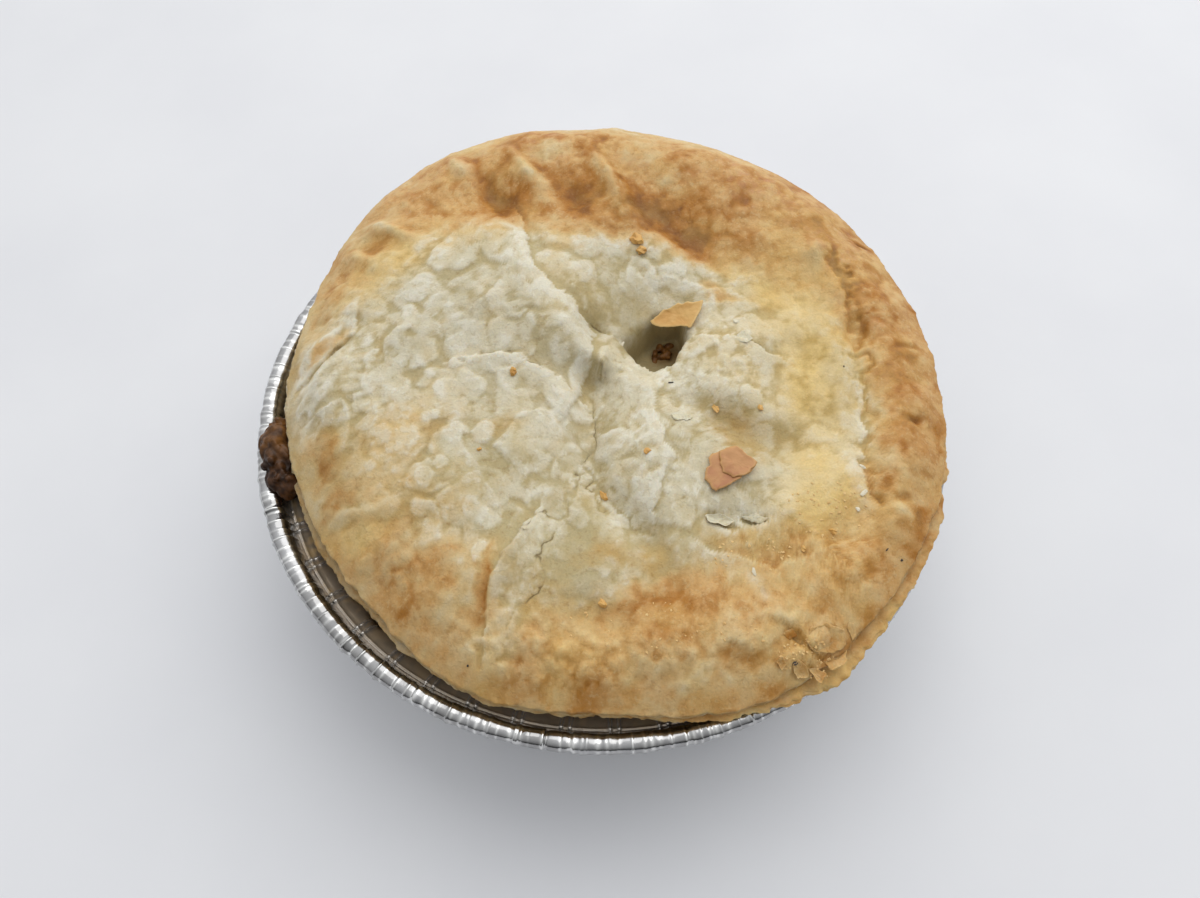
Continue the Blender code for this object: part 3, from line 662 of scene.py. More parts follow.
def browning(x, y):
    """0 for cream pastry to 1 for dark brown: an uneven threshold round the rim, named patches whose edges
    noise moves about, and mottling that is strongest where it is brown."""
    share, theta = rim_share(x, y)
    uneven = share + BROWN_UNEVEN * fractal(x, y, 9 * MM, 4, seed=5)
    rim = smooth_step(-1, 1, (uneven - around(theta, BROWN_FROM)) / around(theta, BROWN_SOFT))
    outer = smooth_step(*OUTER_RIM, uneven)
    depth = around(theta, BROWN_DEPTH) * (1 - outer) + around(theta, BROWN_RIM) * outer
    push_x, push_y = (1.3 * MM * noise for noise in two_noises(x, y, 4 * MM, 3, 6))
    brown = patched(rim * depth, x + push_x, y + push_y, BROWN_PATCHES)
    mottle = 0.10 * fractal(x, y, 5 * MM, 3, seed=9) + 0.10 * fractal(x, y, 1.6 * MM, 3, seed=10)
    tan = 0.04 * smooth_step(0.0, 0.9, fractal(x, y, 10 * MM, 4, seed=8))
    apart, side = path_distance(x + 1.5 * push_x, y + 1.5 * push_y, in_metres(RIM_GROOVE))
    beside = 0.20 * np.exp(-(((apart * side + 1.0 * MM) / (1.3 * MM)) ** 2))
    return np.clip(brown + tan + beside + mottle * smooth_step(0.0, 0.5, brown), 0, 1)


probe_angles = np.linspace(0, TURN, 5)[:-1]
probe_x, probe_y = 46 * MM * np.cos(probe_angles), 46 * MM * np.sin(probe_angles)
print("browning 46 mm out, right, back, left and front:", browning(probe_x, probe_y).round(2))

# %% [markdown]
# Fine relief of the lid
#
# What is finer than the solid's relief comes in three ways. Cell noise makes what is all over the lid: thin
# skins and bubbles that steam lifted, broken plates and lumps. Paths make what runs along a line: a crack is
# a narrow groove along a path that noise makes jagged, and a ledge is a step at such a path, where one layer
# ends on top of the next. Ellipses make the folds and hollows that have a place of their own.

# %% Cracks and ledges
GROOVE_DEPTH = 0.66 * MM
GROOVE_HALF_WIDTH = 0.75 * MM
# Cracks: a path, half width, depth and jag, all in mm.
CRACKS = (
    (((-2.2, -4.5), (-2.4, -9.0), (-2.8, -13.8), (-2.2, -21.2), (-0.8, -23.3)), 0.45, 0.40, 2.2),
    (((-3.6, 11.4), (-2.0, 10.2), (1.4, 8.3)), 0.30, 0.6, 0.3),
    (((-23.1, 1.5), (-16.9, 2.7), (-13.8, 2.2), (-6.1, -2.1), (-4.1, -4.2)), 0.25, 0.25, 0.9),
    (
        ((-3.0, -18.0), (-5.2, -20.7), (-6.7, -24.7), (-8.5, -26.5), (-11.4, -26.4), (-12.9, -29.0)),
        0.22, 0.28, 1.2,
    ),
    (
        ((-8.5, -27.9), (-10.3, -32.2), (-10.2, -37.0), (-11.3, -38.9), (-12.7, -41.1), (-15.4, -43.6)),
        0.20, 0.24, 1.1,
    ),
    (((0.8, -23.4), (3.5, -26.6), (6.1, -30.0)), 0.26, 0.36, 1.2),
    (((22.0, 5.4), (24.5, 4.1), (28.9, 1.2)), 0.22, 0.35, 0.5),
    (((15.8, -26.6), (16.7, -27.4), (19.1, -28.8)), 0.45, 0.8, 0.4),
    (((20.6, -27.4), (22.4, -28.4), (24.0, -28.0)), 0.40, 0.7, 0.4),
    (((28.3, -47.9), (29.6, -48.6), (31.4, -48.4)), 0.30, 0.6, 0.5),
    (((28.2, -49.6), (29.6, -51.2), (30.6, -52.2)), 0.30, 0.6, 0.4),
    (((25.4, -45.0), (26.4, -46.4), (27.6, -47.2)), 0.32, 0.5, 0.4),
    (((-50.5, 1.0), (-46.8, 4.3), (-43.2, 7.6)), 0.30, 0.4, 0.4),
)
# Ledges: a path, rise, reach and jag, all in mm. A rise below 0 lifts the right of the path, not the left.
LEDGES = (
    (((-4.1, -3.8), (-1.4, 3.2), (-1.3, 8.6), (-6.8, 14.3), (-11.4, 19.0), (-13.7, 29.7)), 0.70, 6.0, 0.7),
    (((-4.1, -4.2), (-6.1, -2.1), (-13.8, 2.2), (-16.9, 2.7), (-23.1, 1.5)), 0.40, 4.0, 0.6),
    (((-18.3, -43.0), (-17.5, -36.6), (-15.7, -32.7), (-13.5, -29.0)), -0.90, 4.5, 0.5),
    (((-42.1, 10.2), (-42.2, 8.1), (-43.6, 7.5), (-46.5, 4.9), (-50.5, 1.5)), -0.60, 4.0, 0.3),
    (((8.0, -24.0), (10.5, -16.0), (8.0, -8.0), (10.0, -2.0)), 0.35, 4.0, 0.9),
    (((28.9, 1.2), (24.5, 4.1), (18.0, 6.4)), 0.35, 3.0, 0.6),
    (((17.6, -47.8), (20.5, -48.6), (22.4, -47.0)), 0.45, 2.4, 0.8),
    (((26.0, -50.4), (27.4, -49.2), (29.2, -49.4), (31.0, -48.6)), 0.60, 2.5, 0.6),
    (((24.0, -44.0), (26.4, -44.6), (28.4, -47.4)), 0.60, 2.2, 0.6),
    (((42.9, 8.0), (42.9, -3.8), (40.9, -10.1), (40.2, -17.0)), 0.25, 3.0, 0.4),
    (((16.0, -33.0), (24.0, -36.0), (31.0, -33.0), (36.2, -31.8)), -0.45, 4.0, 0.8),
    (((9.0, 19.0), (17.0, 17.5), (23.0, 15.0)), -0.22, 2.5, 0.9),
)
EDGE_SOFTNESS = 0.28 * MM


def jagged(x, y, points, jag, seed):
    """Distance and side to a path, seen through noise, so that it comes out jagged. The path's points and the
    jag are in millimetres."""
    shift_x, shift_y = two_noises(x, y, 2.6 * MM, 3, seed, seed_step=40)
    return path_distance(x + jag * MM * shift_x, y + jag * MM * shift_y, in_metres(points))


def cracks(x, y):
    """Depth of the grooves: depth times exp(-(distance / half width)^2) along each jagged path. The widest is
    the soft groove inside the right rim."""
    apart, _ = jagged(x, y, RIM_GROOVE, 1.5, 60)
    depth = GROOVE_DEPTH * np.exp(-((apart / GROOVE_HALF_WIDTH) ** 2))
    for place, (points, half_width, deep, jag) in enumerate(CRACKS):
        apart, _ = jagged(x, y, points, jag, 20 + place)
        depth = np.maximum(depth, deep * MM * np.exp(-((apart / (half_width * MM)) ** 2)))
    return depth


def tears(x, y):
    """Signed distance in mm to the nearest crack, and how open it is: 0 from 0.9 mm away and past its ends.
    A signed distance stays exact between two points, so the material can draw a dark line of painted shade,
    finer than the mesh."""
    nearest, signed, opened = np.full(np.shape(x), np.inf), np.zeros(np.shape(x)), np.zeros(np.shape(x))
    for place, (points, _, _, jag) in enumerate(CRACKS):
        apart, side = jagged(x, y, points, jag, 20 + place)
        ends = np.minimum(*(np.hypot(x - px, y - py) for px, py in in_metres((points[0], points[-1]))))
        closer = apart < nearest
        signed = np.where(closer, apart * side / MM, signed)
        opened = np.where(closer, smooth_step(0.6 * MM, 2.0 * MM, ends), opened)
        nearest = np.where(closer, apart, nearest)
    gaps = smooth_step(-0.15, 0.40, fractal(x, y, 3.0 * MM, 2, seed=54))
    return signed, opened * gaps * (1 - smooth_step(0.5 * MM, 0.9 * MM, nearest))


def ledges(x, y):
    """Steps: on one side of each jagged path the top stands up by its rise, fading over its reach."""
    height = np.zeros(np.shape(x))
    for place, (points, rise, reach, jag) in enumerate(LEDGES):
        apart, side = jagged(x, y, points, jag, 100 + place)
        step = smooth_step(-EDGE_SOFTNESS, EDGE_SOFTNESS, apart * side * math.copysign(1, rise))
        height += abs(rise) * MM * step * np.exp(-((apart / (reach * MM)) ** 2))
    return height


print(len(CRACKS), "cracks and", len(LEDGES), "ledges")

# %% Folds, lumps and what is all over the lid
# Folds: name, x, y, half axes in mm, turn in degrees, and rise in mm.
FOLDS = (
    ("back_ridge", 3.0, 38.4, 7.8, 1.7, -66, 1.2),
    ("back_left_fold_a", -25.4, 44.6, 4.8, 1.6, -60, 1.0),
    ("back_left_fold_b", -12.4, 41.8, 6.6, 1.7, -62, 1.1),
    ("back_left_hollow", -18.6, 37.0, 4.8, 2.4, -50, -1.3),
    ("back_middle_hollow", -4.0, 36.4, 4.2, 2.2, -60, -1.2),
    ("back_far_left_hollow", -30.6, 36.0, 2.6, 1.8, -40, -0.6),
    ("back_right_hollow", 12.4, 30.4, 8.4, 2.4, -46, -0.8),
    ("upper_left_fold", -37.0, 29.8, 5.6, 1.2, -38, 0.8),
    ("upper_left_fold_low", -42.0, 24.2, 4.6, 1.2, -42, 0.6),
    ("left_fold_a", -46.8, -3.5, 5.4, 0.8, 52, 0.35),
    ("left_fold_b", -50.0, -3.0, 4.6, 0.7, 60, 0.28),
    ("left_fold_c", -47.5, 7.5, 4.4, 0.8, 38, 0.35),
    ("pale_bump_right", 37.7, 22.4, 3.4, 2.6, 30, 1.0),
    ("bump_below_it", 41.5, 15.5, 2.2, 3.4, 10, 0.5),
    ("pale_lump_edge", -38.8, -24.6, 5.4, 1.0, 5, 0.5),
    ("lower_right_lump", 38.0, -34.5, 4.6, 2.0, 40, 0.5),
    ("right_rim_dent_a", 50.1, -11.4, 1.8, 0.9, 5, -0.9),
    ("right_rim_dent_b", 45.8, -25.3, 1.6, 0.8, 15, -0.7),
    ("right_rim_dent_c", 49.0, 27.5, 2.2, 0.5, -15, -0.8),
    ("right_rim_dent_d", 51.5, 3.0, 2.4, 0.6, 20, -0.5),
)
LUMPY_SPOTS = (
    (-15.0, -46.8, 9.0, 4.2, -15, 1.0),
    (9.0, -48.6, 12.0, 4.0, 0, 1.0),
    (-5.0, -49.5, 8.0, 3.6, 0, 0.8),
    (-33.0, -36.0, 9.0, 6.0, -40, 0.6),
    (46.0, 14.0, 3.0, 8.0, 10, 0.5),
    (20.0, -46.0, 5.0, 3.0, 0, 0.3),
)
WRINKLES = (0.8, 0.8, 0.9, 1.0, 1.2, 1.2, 1.1, 1.0, 1.4, 0.7, 0.5, 0.5, 0.4, 0.4, 0.7, 1.0)
WRINKLE_HEIGHT = 0.16
# Skins and bubbles: kind, height on brown pastry, what pale pastry adds to it, size in mm, and seed.
SKIN_AND_BUBBLES = (
    (skins, 0.07, 0.24, 5.6, 11),
    (skins, 0.03, 0.16, 3.1, 12),
    (skins, 0.03, 0.05, 1.6, 18),
    (domes, 0.09, -0.06, 2.1, 19),
    (domes, 0.05, -0.03, 1.1, 21),
    (domes, 0.28, -0.28, 3.4, 27),
)


def folds(x, y):
    """Sharp pinches in the dough: each a ridge or dent shaped like exp(-distance^2) in its own ellipse."""
    height = np.zeros(np.shape(x))
    push_x, push_y = (0.5 * MM * noise for noise in two_noises(x, y, 4 * MM, 2, 25))
    for _, *shape, rise in FOLDS:
        height += rise * MM * np.exp(-(ellipse(x + push_x, y + push_y, *shape) ** 2))
    return height


def radial_wrinkles(x, y):
    """Noise drawn out along the radius, so that it makes folds that run over the rim."""
    share, theta = rim_share(x, y)
    wrinkled = fractal(MEAN_RADIUS * theta, 0.55 * np.hypot(x, y), 3.4 * MM, 4, seed=17)
    return around(theta, WRINKLES) * wrinkled * smooth_step(0.62, 0.80, share)


def fine_relief(x, y, brown):
    """Everything smaller than the solid's relief, in metres. Pale pastry is all thin overlapping skins,
    brown pastry is smoother, with small bubbles and folds that run over the rim."""
    share, _ = rim_share(x, y)
    plain = np.clip(spots(x, y, YELLOW_SPOTS[:2]), 0, 1)
    pale = paleness(brown) * (1 - 0.75 * plain)
    flaky = np.clip(spots(x, y, FLAKY_SPOTS), 0, 1)
    cells = 0.0
    for cell, on_brown, more_on_pale, size, seed in SKIN_AND_BUBBLES:
        cells = cells + (on_brown + more_on_pale * pale) * cell(x, y, size * MM, seed)
    rough = 0.20 * fractal(x, y, 7 * MM, 3, seed=13) + 0.04 * fractal(x, y, 1.3 * MM, 3, seed=14)
    plates = flaky * (0.55 * shards(x, y, 2.6 * MM, 15) + 0.34 * shards(x, y, 1.3 * MM, 16))
    flat = 1 - smooth_step(0.94, 1.0, share)
    lumpy = np.clip(spots(x, y, LUMPY_SPOTS), 0, 1)
    lumps = lumpy * (0.62 * domes(x, y, 2.8 * MM, 24) + 0.34 * domes(x, y, 1.5 * MM, 28))
    small = MM * (cells + rough + plates + lumps + WRINKLE_HEIGHT * radial_wrinkles(x, y))
    return (small + ledges(x, y) + folds(x, y)) * flat - cracks(x, y)


print("deepest crack", round(float(cracks(probe * 0 - 2.0 * MM, probe - 30 * MM).max()) / MM, 2), "mm")

# %% [markdown]
# The lid as one sheet of points
#
# A polar grid would crowd its points in the middle, so the lid uses a square grid laid onto the disc. Near
# the vent the points are drawn towards its outline, which keeps the torn edge crisp. Below the top, rows of
# points run down the edge, with thin grooves between the pastry's layers, and close underneath.

# %% Lid grid
LID_POINTS = 283
VENT_FLOOR = 0.0306
VENT_PULL = 1.1 * MM
VENT_WALL = 0.75 * MM
VENT_LIP = 0.60 * MM
VENT_SLOPE = 3.6 * MM
VENT_MIDDLE = (9.5 * MM, 7.0 * MM)
VENT_JAG = 0.22 * MM
EDGE_JAG = 0.36 * MM


def disc_grid(count):
    """Ring share and angle of a square grid laid onto a disc: the larger coordinate is the ring, and the
    ratio of the two, times 45 degrees, is the angle."""
    line = np.linspace(-1, 1, count)
    a, b = np.meshgrid(line, line, indexing="ij")
    wide = np.abs(a) > np.abs(b)
    ring = np.where(wide, a, b)
    whole = np.where(ring == 0, 1, ring)
    eighth = math.pi / 4
    angle = np.where(wide, eighth * b / whole, 2 * eighth - eighth * a / whole)
    return np.abs(ring), angle + np.where(ring < 0, math.pi, 0)


def vent_distance(x, y):
    """Distance to the vent's torn outline, negative in the hole."""
    jag_x, jag_y = (VENT_JAG * noise for noise in two_noises(x, y, 1.6 * MM, 2, 31))
    return outline_distance(x + jag_x, y + jag_y, VENT_CORNERS)


def drawn_to_vent(x, y):
    """Points near the vent's outline moved towards it: a distance d becomes d - 0.8 w/pi sin(pi d/w)."""
    step = 0.05 * MM
    apart = vent_distance(x, y)
    slope_x = (vent_distance(x + step, y) - apart) / step
    slope_y = (vent_distance(x, y + step) - apart) / step
    steep = np.maximum(np.hypot(slope_x, slope_y), 0.3)
    pull = 0.8 * VENT_PULL / math.pi * np.sin(math.pi * np.clip(apart / VENT_PULL, -1, 1))
    return x - pull * slope_x / steep, y - pull * slope_y / steep


def vent_share(x, y):
    """0 on the lid to 1 on the vent's floor. The wall is steep, but slopes in gently at the left. Its edge is
    torn, and further in it follows the plain outline, so that the wall is smooth."""
    torn, plain = vent_distance(x, y), outline_distance(x, y, VENT_CORNERS)
    inward = smooth_step(0.0, 0.6 * MM, -torn)
    apart = torn * (1 - inward) + plain * inward - VENT_LIP
    towards = (-(x - VENT_MIDDLE[0]) + 0.5 * (y - VENT_MIDDLE[1])) / (7 * MM)
    wall = VENT_WALL + VENT_SLOPE * smooth_step(0.15, 0.95, towards)
    return smooth_step(0, 1, -apart / wall)


def neighbour_mean(grid, rounds):
    """A grid blurred by so many rounds of averaging each point with its four neighbours."""
    for _ in range(rounds):
        padded = np.pad(grid, 1, mode="edge")
        grid = 0.2 * (grid + padded[2:, 1:-1] + padded[:-2, 1:-1] + padded[1:-1, 2:] + padded[1:-1, :-2])
    return grid


ring, angle = disc_grid(LID_POINTS)
edge_jag = EDGE_JAG * fractal(60 * MM * np.cos(angle), 60 * MM * np.sin(angle), 3 * MM, 5, seed=41)
reach = ring * (lid_radius(angle) + edge_jag * smooth_step(0.8, 1.0, ring))
lid_x, lid_y = drawn_to_vent(reach * np.cos(angle), reach * np.sin(angle))
brown = browning(lid_x, lid_y)
lid_fine = fine_relief(lid_x, lid_y, brown)
lid_top = broad_height(lid_x, lid_y) + lid_fine
vent = vent_share(lid_x, lid_y)
lid_z = lid_top * (1 - vent) + (VENT_FLOOR + 0.2 * MM * fractal(lid_x, lid_y, 2 * MM, 3, seed=33)) * vent
print("lid spans", round(float(lid_z.min()) / MM, 1), "to", round(float(lid_z.max()) / MM, 1), "mm")

# %% Lid edge and underside
LAYER_DROPS = np.array([0.15, 0.35, 0.55, 0.75, 0.95, 1.15, 1.35, 1.6, 1.9, 2.2]) * MM
LAYER_SHIFTS = np.array([0.08, 0.00, -0.26, 0.06, -0.30, 0.06, -0.22, -0.34, -0.80, -2.2]) * MM
LAYER_JAG = 0.22 * MM
UNDER_RADII = np.array([[48.0], [46.0]]) * MM
UNDER_HEIGHTS = np.array([[31.0], [29.8]]) * MM
UNDERSIDE_HEIGHT = 0.0296


def rim_loop(count):
    """Indices of the square grid's border, anticlockwise from its lowest corner."""
    index = np.arange(count * count).reshape(count, count)
    return np.concatenate([index[:-1, 0], index[-1, :-1], index[:0:-1, -1], index[0, :0:-1]])


border = rim_loop(LID_POINTS)
border_theta = np.arctan2(lid_y.ravel()[border], lid_x.ravel()[border])
border_reach = np.hypot(lid_x, lid_y).ravel()[border]
border_z = lid_z.ravel()[border]
layer_noise = fractal(MEAN_RADIUS * border_theta[None], 9 * LAYER_DROPS[:, None], 1.6 * MM, 4, seed=43)
layer_reach = border_reach[None] + LAYER_SHIFTS[:, None] + LAYER_JAG * layer_noise
layer_rows = polar(layer_reach, border_theta[None], border_z[None] - LAYER_DROPS[:, None])
under_rows = polar(UNDER_RADII, border_theta[None], UNDER_HEIGHTS)
side_rows = np.concatenate([layer_rows, under_rows])

top_points = np.stack([lid_x, lid_y, lid_z], -1).reshape(-1, 3)
grid_index = np.arange(LID_POINTS * LID_POINTS).reshape(LID_POINTS, LID_POINTS)
top_quads = np.stack(
    [grid_index[:-1, :-1], grid_index[1:, :-1], grid_index[1:, 1:], grid_index[:-1, 1:]], -1
).reshape(-1, 4)
first_side = len(top_points)
columns = len(border)
below = first_side + np.arange(columns)
join_quads = np.stack([border, below, np.roll(below, -1), np.roll(border, -1)], -1)
side_quads = ring_quads(len(side_rows), columns, first_side)
pole = first_side + side_rows.shape[0] * columns
last_ring = pole - columns + np.arange(columns)
lid_points = np.concatenate([top_points, side_rows.reshape(-1, 3), [[0, 0, UNDERSIDE_HEIGHT]]])
lid = mesh_object("pastry_lid", lid_points, top_quads, join_quads, side_quads, fan(last_ring[::-1], pole))

# %% [markdown]
# Masks on the lid
#
# The material needs to know more than the height. Each mask is one number for each point: how brown, how
# yellow, how fatty and see-through, how floury, how deep in a crack, and how far down the vent. High points
# of the fine relief are painted paler, partly because the thin skins there dried out and partly as painted
# highlight, and low points darker, as painted shade, so a blurred copy is taken off first. The olive, flour,
# crack and vent masks carry painted shade and highlight as well.


# %% Helpers for the lid's masks
NEAR_BLUR = 16
WIDE_BLUR = 110
BLUSH_RING = (0.66, 0.80)
BLUSH_SIDE = (math.radians(62), math.radians(100))
LEAST_FLOUR = 0.08
# The zone near the mince, under the gold flake, where the vent's floor is painted darker: gravy and painted
# shade.
MINCE_SHADE_ZONE = (11.6, 8.6, 3.2, 2.4, 20)


def lid_noise(size, octaves, seed):
    """Noise at the lid's points, with its size in millimetres."""
    return fractal(lid_x, lid_y, size * MM, octaves, seed)


def with_side(top_values, side_factor):
    """Values of the top grid, carried down the edge from its border times a factor, and 0 for the pole."""
    side = np.broadcast_to(top_values.ravel()[border] * side_factor, side_rows.shape[:2])
    return np.concatenate([top_values.ravel(), side.ravel(), [0.0]])


# %% What stands up and what lies low
raised = (lid_fine - neighbour_mean(lid_fine, NEAR_BLUR)) / MM
height_above = raised + 0.5 * (lid_fine - neighbour_mean(lid_fine, WIDE_BLUR)) / MM
pale = paleness(brown)
lid_share, lid_angle = rim_share(lid_x, lid_y)
print("fine relief stands up by", round(float(raised.max()), 2), "mm at most")

# %% Paint the lid's masks
# Blush: reddish freckles, most of them on the brown crown at the back right.
freckles = domes(lid_x, lid_y, 1.5 * MM, 57) * smooth_step(-0.3, 0.6, lid_noise(7, 3, 51))
crown = smooth_step(*BLUSH_RING, lid_share) * angle_bump(lid_angle, *BLUSH_SIDE)
blush = np.clip((0.10 + 0.85 * crown) * freckles, 0, 1) * smooth_step(0.22, 0.45, brown)
blush *= 1 - smooth_step(0.72, 0.92, brown)
# Yellow: fat and egg that show through. Olive and shade: damp paste, and painted shade in the hollows,
# darker where the skin is pale.
yellow_spots, olive_and_shade_spots = spots(lid_x, lid_y, YELLOW_SPOTS), spots(lid_x, lid_y, OLIVE_AND_SHADE_SPOTS)
yellow = np.clip(yellow_spots + 0.25 * lid_noise(5, 3, 52), 0, 1)
hollow = smooth_step(-0.02, 0.20, 0.08 * lid_noise(6, 3, 53) - height_above)
greasy = 0.32 * pale * smooth_step(-0.1, 0.9, lid_noise(11, 4, 58))
olive_and_shade = np.clip(olive_and_shade_spots + greasy + (0.26 + 0.6 * pale) * hollow, 0, 1)
# Flour and highlight: dry skins that stand up are painted paler, partly as painted highlight, and powder
# lies in places, but little of it where fat or browning shows.
flour_and_highlight = smooth_step(0.0, 0.17, height_above + 0.06 * lid_noise(9, 3, 55))
flour_and_highlight *= LEAST_FLOUR + (1 - LEAST_FLOUR) * pale
# Powder, and painted light at the left edge.
powder_and_light = spots(lid_x, lid_y, FLOUR_AND_LIGHT_SPOTS) * (0.6 + 0.6 * lid_noise(1.6, 3, 56))
bare = np.clip(0.75 * olive_and_shade_spots + 0.9 * yellow_spots, 0, 0.9)
in_rim = smooth_step(0.0, 0.10, lid_share - around(lid_angle, BROWN_FROM))
flour_and_highlight = np.clip(flour_and_highlight * (1 - bare) * (1 - 0.85 * in_rim) + powder_and_light, 0, 1)
# Painted light: browning is drawn paler on the high points of the fine relief, as painted highlight, and
# darker in the hollows and between round scales, as painted shade.
scaly = smooth_step(0.30, 0.55, skins(lid_x, lid_y, 3.4 * MM, 61)) - 0.5
brown_with_painted_light = np.clip(brown - (0.55 * raised + 0.13 * scaly) * smooth_step(0.1, 0.5, brown), 0, 1)
tear, tear_open = tears(lid_x, lid_y)
# The vent and the damp spots by it get the gravy colour, partly as painted shade, and the depth mask darkens
# the vent near the mince, also partly painted shade.
damp_and_shade = np.clip(spots(lid_x, lid_y, DAMP_AND_SHADE_SPOTS), 0, 1)
near_mince = np.exp(-(ellipse(lid_x, lid_y, *MINCE_SHADE_ZONE) ** 3))
# The lid's bake mask holds this browning with its painted highlight and painted shade.
lid_masks = (
    ("bake", brown_with_painted_light, 1.0),
    ("blush", blush, 1.0),
    ("yellow", yellow, 1.0),
    ("tear", np.clip(tear, -3, 3), 1.0),
    ("tear_open", tear_open, 1.0),
    ("olive_and_shade", olive_and_shade, 0.3),
    ("flour_and_highlight", flour_and_highlight, 0.3),
    ("gravy_and_shade", np.maximum(damp_and_shade, smooth_step(0.02, 0.40, vent)), 0.0),
    ("depth", near_mince * smooth_step(0.3, 0.9, vent), 0.0),
)
for mask_name, mask, on_side in lid_masks:
    give_mask(lid, mask_name, with_side(mask, on_side))
print("browned share of the lid:", round(float((brown > 0.4).mean()), 2))

# %% [markdown]
# Shader tools
#
# A few helpers keep node trees short. Colours are written as they look on screen and turned into the linear
# values that the renderer needs. Two node groups serve several materials: a fine grain, and soft mottling.


# %% Helpers for node trees
def linear(red, green, blue):
    """Screen colour from 0 to 255 as linear light, by the usual 2.4 power curve."""
    screen = np.array([red, green, blue]) / 255
    light = np.where(screen <= 0.04045, screen / 12.92, ((screen + 0.055) / 1.055) ** 2.4)
    return (*[float(v) for v in light], 1.0)


def feed(tree, node, inputs):
    """Gives a node's sockets, by name or number, what they read: another socket is linked, a value is set."""
    for key, value in inputs.items():
        if isinstance(value, bpy.types.NodeSocket):
            tree.links.new(value, node.inputs[key])
        else:
            node.inputs[key].default_value = value


def add(tree, kind, inputs=None, **settings):
    """A new node with its settings and inputs."""
    made = tree.nodes.new(kind)
    for key, value in settings.items():
        setattr(made, key, value)
    feed(tree, made, inputs or {})
    return made


def mask_of(tree, name):
    """The mask that numpy wrote on the mesh."""
    return add(tree, "ShaderNodeAttribute", attribute_name=name).outputs["Fac"]


def mixed(tree, factor, first, second, blend="MIX"):
    """Colour between first and second, by factor."""
    made = add(tree, "ShaderNodeMix", {0: factor, 6: first, 7: second}, data_type="RGBA", blend_type=blend)
    return made.outputs[2]


def sums(tree, operation, first, second=0.0, third=0.0):
    """One arithmetic step on numbers."""
    return add(tree, "ShaderNodeMath", {0: first, 1: second, 2: third}, operation=operation).outputs[0]


def times(tree, first, second):
    """Product of two numbers."""
    return sums(tree, "MULTIPLY", first, second)


def ranged(tree, value, low, high, first=0.0, last=1.0):
    """A number that goes evenly from first to last as the value goes from low to high."""
    return add(tree, "ShaderNodeMapRange", {"Value": value, 1: low, 2: high, 3: first, 4: last}).outputs[0]


def bumped(tree, height, strength, distance):
    """The normal that a height turns, with the height's unit as a distance in metres."""
    made = add(tree, "ShaderNodeBump", {"Strength": strength, "Distance": distance, "Height": height})
    return made.outputs["Normal"]


def ramp(tree, factor, *stops):
    """Colours at places from 0 to 1, blended in between."""
    made = add(tree, "ShaderNodeValToRGB", {"Fac": factor})
    elements = made.color_ramp.elements
    while len(elements) < len(stops):
        elements.new(0.5)
    for element, (place, colour) in zip(elements, stops):
        element.position = place
        element.color = colour
    return made.outputs["Color"]


def new_material(name):
    """A material with its Principled shader, and the shader's node tree."""
    made = bpy.data.materials.new(name)
    made.use_nodes = True
    return made, made.node_tree, made.node_tree.nodes["Principled BSDF"]


def group(name, inputs, outputs):
    """An empty node group with float inputs and outputs, and its input and output nodes."""
    made = bpy.data.node_groups.new(name, "ShaderNodeTree")
    for socket, value in inputs:
        entry = made.interface.new_socket(socket, in_out="INPUT", socket_type="NodeSocketFloat")
        entry.default_value = value
    for socket in outputs:
        made.interface.new_socket(socket, in_out="OUTPUT", socket_type="NodeSocketFloat")
    return made, made.nodes.new("NodeGroupInput"), made.nodes.new("NodeGroupOutput")


# %% Shared node groups
def object_noise(tree, scale, detail):
    """Noise on Object coordinates, so that it stays where it is on the piece."""
    place = add(tree, "ShaderNodeTexCoord").outputs["Object"]
    return add(tree, "ShaderNodeTexNoise", {"Vector": place, "Scale": scale, "Detail": detail}).outputs["Fac"]


def make_crumb_grain():
    """Height of crumbly texture: coarse noise plus fine noise, and the fine noise alone as a value."""
    made, inputs, outputs = group("CrumbGrain", (("Scale", 900.0), ("Fine", 0.5)), ("Height", "Value"))
    coarse = object_noise(made, inputs.outputs["Scale"], 4.0)
    fine = object_noise(made, times(made, inputs.outputs["Scale"], 3.1), 3.0)
    height = sums(made, "MULTIPLY_ADD", fine, inputs.outputs["Fine"], coarse)
    feed(made, outputs, {"Height": height, "Value": fine})


def make_soft_mottle():
    """A mask of soft patches: noise stretched so that it runs from 0 to 1."""
    made, inputs, outputs = group("SoftMottle", (("Scale", 200.0), ("Low", 0.35), ("High", 0.65)), ("Mask",))
    noise = object_noise(made, inputs.outputs["Scale"], 5.0)
    span = {"Value": noise, 1: inputs.outputs["Low"], 2: inputs.outputs["High"]}
    stretched = add(made, "ShaderNodeMapRange", span, interpolation_type="SMOOTHSTEP")
    feed(made, outputs, {"Mask": stretched.outputs[0]})


def placed_group(tree, name, values):
    """The outputs of a shared group, placed in a material with the material's own values."""
    return add(tree, "ShaderNodeGroup", values, node_tree=bpy.data.node_groups[name]).outputs


def crumb_grain(tree, scale, fine):
    """The height and the fine value of crumbly texture."""
    return placed_group(tree, "CrumbGrain", {"Scale": scale, "Fine": fine})


def soft_mottle(tree, scale, low, high):
    """The mask of soft patches."""
    return placed_group(tree, "SoftMottle", {"Scale": scale, "Low": low, "High": high})["Mask"]


make_crumb_grain()
make_soft_mottle()
print("groups:", [made.name for made in bpy.data.node_groups])

# %% [markdown]
# Baked pastry
#
# One ramp turns the browning mask into colours, from cream to deep brown. The other masks then lay their own
# colour over it. The grain breaks the masks' edges up, and its height goes to the bump.

